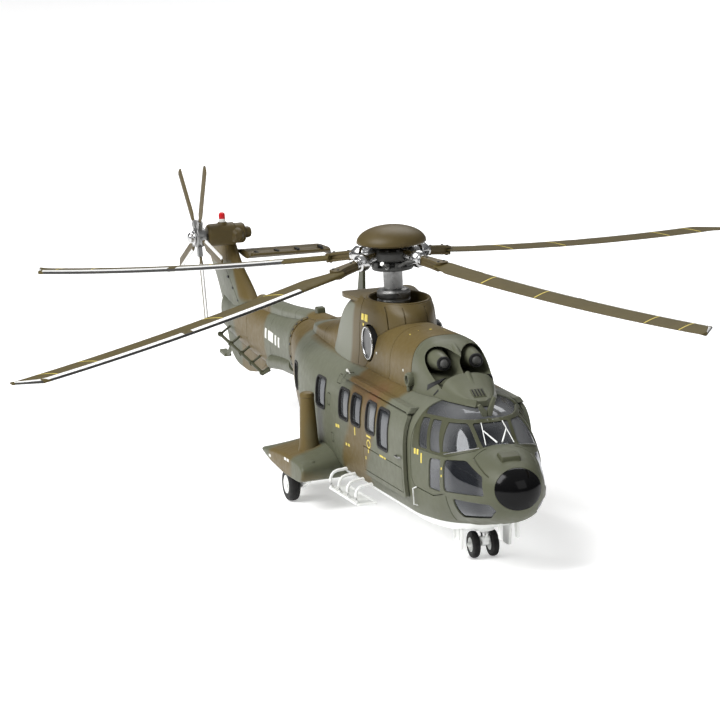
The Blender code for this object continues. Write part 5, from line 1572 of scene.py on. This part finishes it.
def boarding_step(side_name, side):
    """Tread plate with a rolled edge, hung on four hooked struts."""
    x0, x1, y0, y1 = -2.0, 19.5, 12.0, 16.6
    outline = rounded([(x0, side * y0), (x1, side * y0), (x1, side * y1), (x0, side * y1)], 0.8)
    parts = [prism(outline, 5.8, 6.2, "XY")]
    parts.append(tube([(x0 + 0.5, side * y1, 6.1), (x1 - 0.5, side * y1, 6.1)], 0.3, 14))
    for i in range(16):
        x = x0 + 1.4 + i * (x1 - x0 - 2.8) / 15
        low, high = sorted((side * (y0 + 0.6), side * (y1 - 0.6)))
        parts.append(box((x - 0.14, low, 6.15), (x + 0.14, high, 6.32)))
    for x in (-1.0, 5.4, 11.8, 18.2):
        path = [(x, side * y, z) for y, z in ((16.2, 6.1), (16.5, 6.9), (16.6, 7.7), (16.5, 8.5),
                                              (16.2, 9.2), (15.7, 9.7), (15.0, 10.0), (12.4, 10.3))]
        parts.append(tube(path, 0.36, 12))
    place(merge("step", parts), "step_plate_" + side_name, WHITE_PAINT, "fuselage",
          ["boarding_step_" + side_name])


def small_fittings(side_name, side):
    """Nose blade aerial, grab rod and wiper of one side."""
    blade = prism(rounded([(74.2, 13.2), (76.8, 13.2), (76.4, 7.6), (74.9, 7.6)], 0.4), side * 1.6,
                  side * 2.2)
    place(blade, "chin_aerial_" + side_name, WHITE_PAINT, "fuselage",
          ["nose_aerial_" + side_name], bevel=0.15)
    rod = tube([hull_point(53.2, 16.2, side, -0.1), hull_point(53.1, 15.9, side, 0.7),
                hull_point(52.3, 12.2, side, 0.8), hull_point(52.2, 11.9, side, -0.1)], 0.16, 10)
    place(rod, "grab_rod_" + side_name, WHITE_PAINT, "fuselage")
    front = Vector((1.0, 0, 0.4))
    wiper = tube([Vector((67.9, side * 2.6, 29.9)) + front, Vector((71.0, side * 0.6, 27.7)) + front],
                 [0.14, 0.2], 10)
    arm = tube([Vector((66.0, side * 2.4, 31.3)) + front, Vector((71.1, side * 3.2, 27.4)) + front],
               0.1, 10)
    place(merge("wiper", [wiper, arm]), "wiper_" + side_name, WHITE_PAINT, "fuselage")
    sill = tube([hull_point(x, z, side, 0.04) for x, z in
                 ((65.4, 25.35), (67.0, 25.8), (68.6, 26.25), (70.2, 26.75), (71.3, 27.1))], 0.12, 8)
    place(sill, "windscreen_sill_" + side_name, STEEL, "fuselage")


for label, hand in SIDES.items():
    sponson(label, hand)
    wheel_centre = (MAIN_AXLE.x, hand * MAIN_AXLE.y, MAIN_AXLE.z)
    tyre("tyre_main_" + label, wheel_centre, TYRE_MAIN, "main_wheel_" + label, "main_tyre_" + label)
    rim("rim_main_" + label, wheel_centre, TYRE_MAIN, 0.7, "main_wheel_" + label, "main_rim_" + label, hand)
    wheel_centre = (NOSE_AXLE.x, hand * NOSE_AXLE.y, NOSE_AXLE.z)
    tyre("tyre_nose_" + label, wheel_centre, TYRE_NOSE, "nose_wheel_" + label, "nose_tyre_" + label)
    rim("rim_nose_" + label, wheel_centre, TYRE_NOSE, 0.55, "nose_wheel_" + label, "nose_rim_" + label, hand)
    main_leg(label, hand)
    boarding_step(label, hand)
    small_fittings(label, hand)
nose_leg()


# ---- inside and markings --------------------------------------------------------------------
def interior():
    """The CAD floor and cockpit stay; soft grey pads go on the two cockpit seats."""
    for node in ("cabin_floor", "cockpit_interior"):
        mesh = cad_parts[node].data
        mesh.materials.clear()
        mesh.materials.append(GREY_PLASTIC)
    pads = []
    for side in SIDES.values():
        low, high = sorted((side * 3.0, side * 7.8))
        pads.append(prism(rounded([(54.4, 16.5), (59.0, 16.5), (59.4, 17.6), (54.6, 17.8)], 0.5), low, high))
        pads.append(prism(rounded([(54.0, 17.8), (55.4, 17.8), (54.4, 29.4), (53.4, 29.2)], 0.5), low, high))
    place(merge("pads", pads), "seat_pads", SEAT_GREY, "fuselage", bevel=0.5)


def surface_marks(name, outlines, side, finish, body="fuselage", level=0.0):
    """Thin plates that follow the fuselage side."""
    tool = union([side_prism(outline, side) for outline in outlines])
    marks = keep(hull_layer(level - 0.1, level + 0.05), tool)
    place(marks, name, finish, body)


def markings(side_name, side):
    """Plain bars and blocks where a full-size machine has its stencils."""
    cabin = [rectangle(-3.6, -2.4, 19.6, 20.3), rectangle(-2.0, -0.8, 19.7, 20.4),
             rectangle(3.6, 4.6, 16.6, 17.2), rectangle(5.4, 6.6, 16.7, 17.3),
             rectangle(10.8, 11.4, 20.2, 22.0)]
    nose = [rectangle(53.0, 53.7, 23.6, 24.8), rectangle(54.2, 54.9, 23.6, 24.8),
            rectangle(56.0, 56.5, 22.0, 24.2), rectangle(65.1, 65.5, 20.4, 20.9),
            rectangle(65.1, 65.5, 22.0, 22.5)]
    surface_marks("marks_" + side_name, cabin + nose, side, YELLOW_MARK)
    door = [rectangle(23.2, 26.2, 22.2, 22.6), rectangle(24.0, 24.5, 18.6, 19.4),
            rectangle(21.9, 22.3, 16.8, 17.5), rectangle(32.6, 35.4, 19.4, 19.8),
            rectangle(36.0, 37.0, 19.4, 19.8)]
    ring = [(24.6 + 1.4 * math.cos(math.radians(i * 30)), 20.7 + 1.0 * math.sin(math.radians(i * 30)))
            for i in range(12)]
    surface_marks("door_marks_" + side_name, door, side, YELLOW_MARK, "cabin_door_" + side_name, 1.0)
    hoop = cut(side_prism(ring, side), side_prism(grown(ring, -0.28), side, 3, 26))
    place(keep(hull_layer(0.9, 1.05), hoop), "door_ring_" + side_name, YELLOW_MARK,
          "cabin_door_" + side_name)
    bars = union([prism(rectangle(x, x + width, 24.6, 27.0), side * 1, side * 12)
                  for x, width in ((-93.0, 1.6), (-89.6, 5.2), (-82.6, 1.6), (-79.2, 1.6))])
    place(keep(cut(boom_solid(0.05), boom_solid(-0.1)), bars), "tail_bars_" + side_name,
          WHITE_MARK, "fuselage")
    housing = [rectangle(1.0, 2.4, 44.4, 45.8), rectangle(2.9, 4.5, 44.3, 45.9),
               rectangle(2.0, 2.7, 43.2, 43.8)]
    layer = cut(mast_housing(0.05), mast_housing(-0.1))
    plates = keep(layer, union([side_prism(outline, side, 3.0) for outline in housing]))
    place(plates, "housing_marks_" + side_name, YELLOW_MARK, "fuselage")
    dots = [turned([(0.02, 0), (0.3, 0), (0.3, 0.12), (0.02, 0.12)],
                   (x, side * y, z), turn=side_turn(side), sides=12)
            for x, y, z in ((11.5, 8.15, 38.4), (30.6, 8.05, 37.7))]
    place(merge("dots", dots), "cowling_dots_" + side_name, WHITE_MARK, "fuselage")
    blocks = [side_prism(rectangle(x, x + 1.5, z, z + 0.6), side, 18, 24)
              for x, z in ((-17.0, 10.4), (-15.0, 10.4), (-29.6, 8.9))]
    for block in blocks:
        keep(block, box((-40, side * 22.5 - 0.15, 0), (0, side * 22.5 + 0.15, 20)))
    place(merge("blocks", blocks), "sponson_marks_" + side_name, WHITE_MARK, "fuselage")


def deck_dots():
    dots = [turned([(0.02, 0), (0.34, 0), (0.3, 0.1), (0.02, 0.12)], (x, y, z), sides=12)
            for x, y, z in ((26.1, -4.5, 44.6), (26.3, -2.6, 45.3), (27.7, -0.4, 45.6), (29.8, 2.0, 45.5))]
    place(merge("dots", dots), "deck_dots", YELLOW_MARK, "fuselage")


interior()
deck_dots()
for label, hand in SIDES.items():
    markings(label, hand)


# ---- studio ---------------------------------------------------------------------------------
def studio():
    """Pale floor, three soft lamps, and a surround that only the camera sees as white.

    What the model mirrors is a grey sky, darker towards the ground, so that paint and glass
    keep their contrast.  The floor glows a little, which keeps it pale far from the lamps.
    """
    scene = bpy.context.scene
    scene.view_settings.view_transform = "Standard"
    bm = bmesh.new()
    bmesh.ops.create_grid(bm, x_segments=1, y_segments=1, size=6.0)
    floor_mesh = bpy.data.meshes.new("floor")
    bm.to_mesh(floor_mesh)
    bm.free()
    floor = bpy.data.objects.new("floor", floor_mesh)
    floor.location.z = GROUND_Z - 0.0001
    card = plain_paint("floor_card", (0.86, 0.86, 0.86, 1), 0.6, variation=0.0)
    glow = card.node_tree.nodes["Principled BSDF"].inputs
    glow["Emission Color"].default_value = (1, 1, 1, 1)
    glow["Emission Strength"].default_value = 0.35
    floor_mesh.materials.append(card)
    scene.collection.objects.link(floor)
    world = scene.world or bpy.data.worlds.new("world")
    scene.world = world
    world.use_nodes = True
    nodes, links = world.node_tree.nodes, world.node_tree.links
    background = nodes["Background"]
    background.inputs["Strength"].default_value = 1.0
    height = nodes.new("ShaderNodeSeparateXYZ")
    links.new(nodes.new("ShaderNodeTexCoord").outputs["Generated"], height.inputs[0])
    ramp = nodes.new("ShaderNodeValToRGB")
    ramp.color_ramp.elements[0].color = (0.08, 0.08, 0.085, 1)
    ramp.color_ramp.elements[1].color = (0.42, 0.42, 0.42, 1)
    links.new(height.outputs[2], ramp.inputs[0])
    seen = nodes.new("ShaderNodeLightPath")
    mix = nodes.new("ShaderNodeMix")
    mix.data_type = "RGBA"
    mix.inputs["B"].default_value = (1, 1, 1, 1)
    links.new(seen.outputs["Is Camera Ray"], mix.inputs["Factor"])
    links.new(ramp.outputs["Color"], mix.inputs["A"])
    links.new(mix.outputs["Result"], background.inputs["Color"])
    for name, spot, size, power in (("key", (0.15, -0.65, 0.80), 0.7, 17.0),
                                    ("fill", (0.9, 0.35, 0.5), 0.6, 1.2),
                                    ("back", (-0.6, 0.3, 0.7), 0.5, 3.0)):
        light = bpy.data.lights.new(name, "AREA")
        light.size = size
        light.energy = power
        lamp = bpy.data.objects.new(name, light)
        lamp.location = spot
        lamp.rotation_euler = (-Vector(spot)).to_track_quat("-Z", "Y").to_euler()
        scene.collection.objects.link(lamp)


def camera():
    """A long lens from ahead and a little above on the starboard side, slightly rolled."""
    azimuth, elevation, roll = math.radians(16.91), math.radians(10.63), math.radians(-2.62)
    back = Vector((math.cos(azimuth) * math.cos(elevation), -math.sin(azimuth) * math.cos(elevation),
                   math.sin(elevation)))
    right = (-back).cross(Vector((0, 0, 1))).normalized()
    up = right.cross(-back)
    across = right * math.cos(roll) + up * math.sin(roll)
    above = up * math.cos(roll) - right * math.sin(roll)
    lens = bpy.data.cameras.new("camera")
    lens.lens = 292.9
    lens.sensor_width = 36.0
    lens.shift_x = -0.0093
    lens.clip_start = 0.05
    lens.clip_end = 20
    eye = bpy.data.objects.new("camera", lens)
    turn = Matrix((across, above, back)).transposed().to_4x4()
    eye.matrix_world = Matrix.Translation((1.24236, -0.38477, 0.27252)) @ turn
    bpy.context.scene.collection.objects.link(eye)
    bpy.context.scene.camera = eye


studio()
camera()
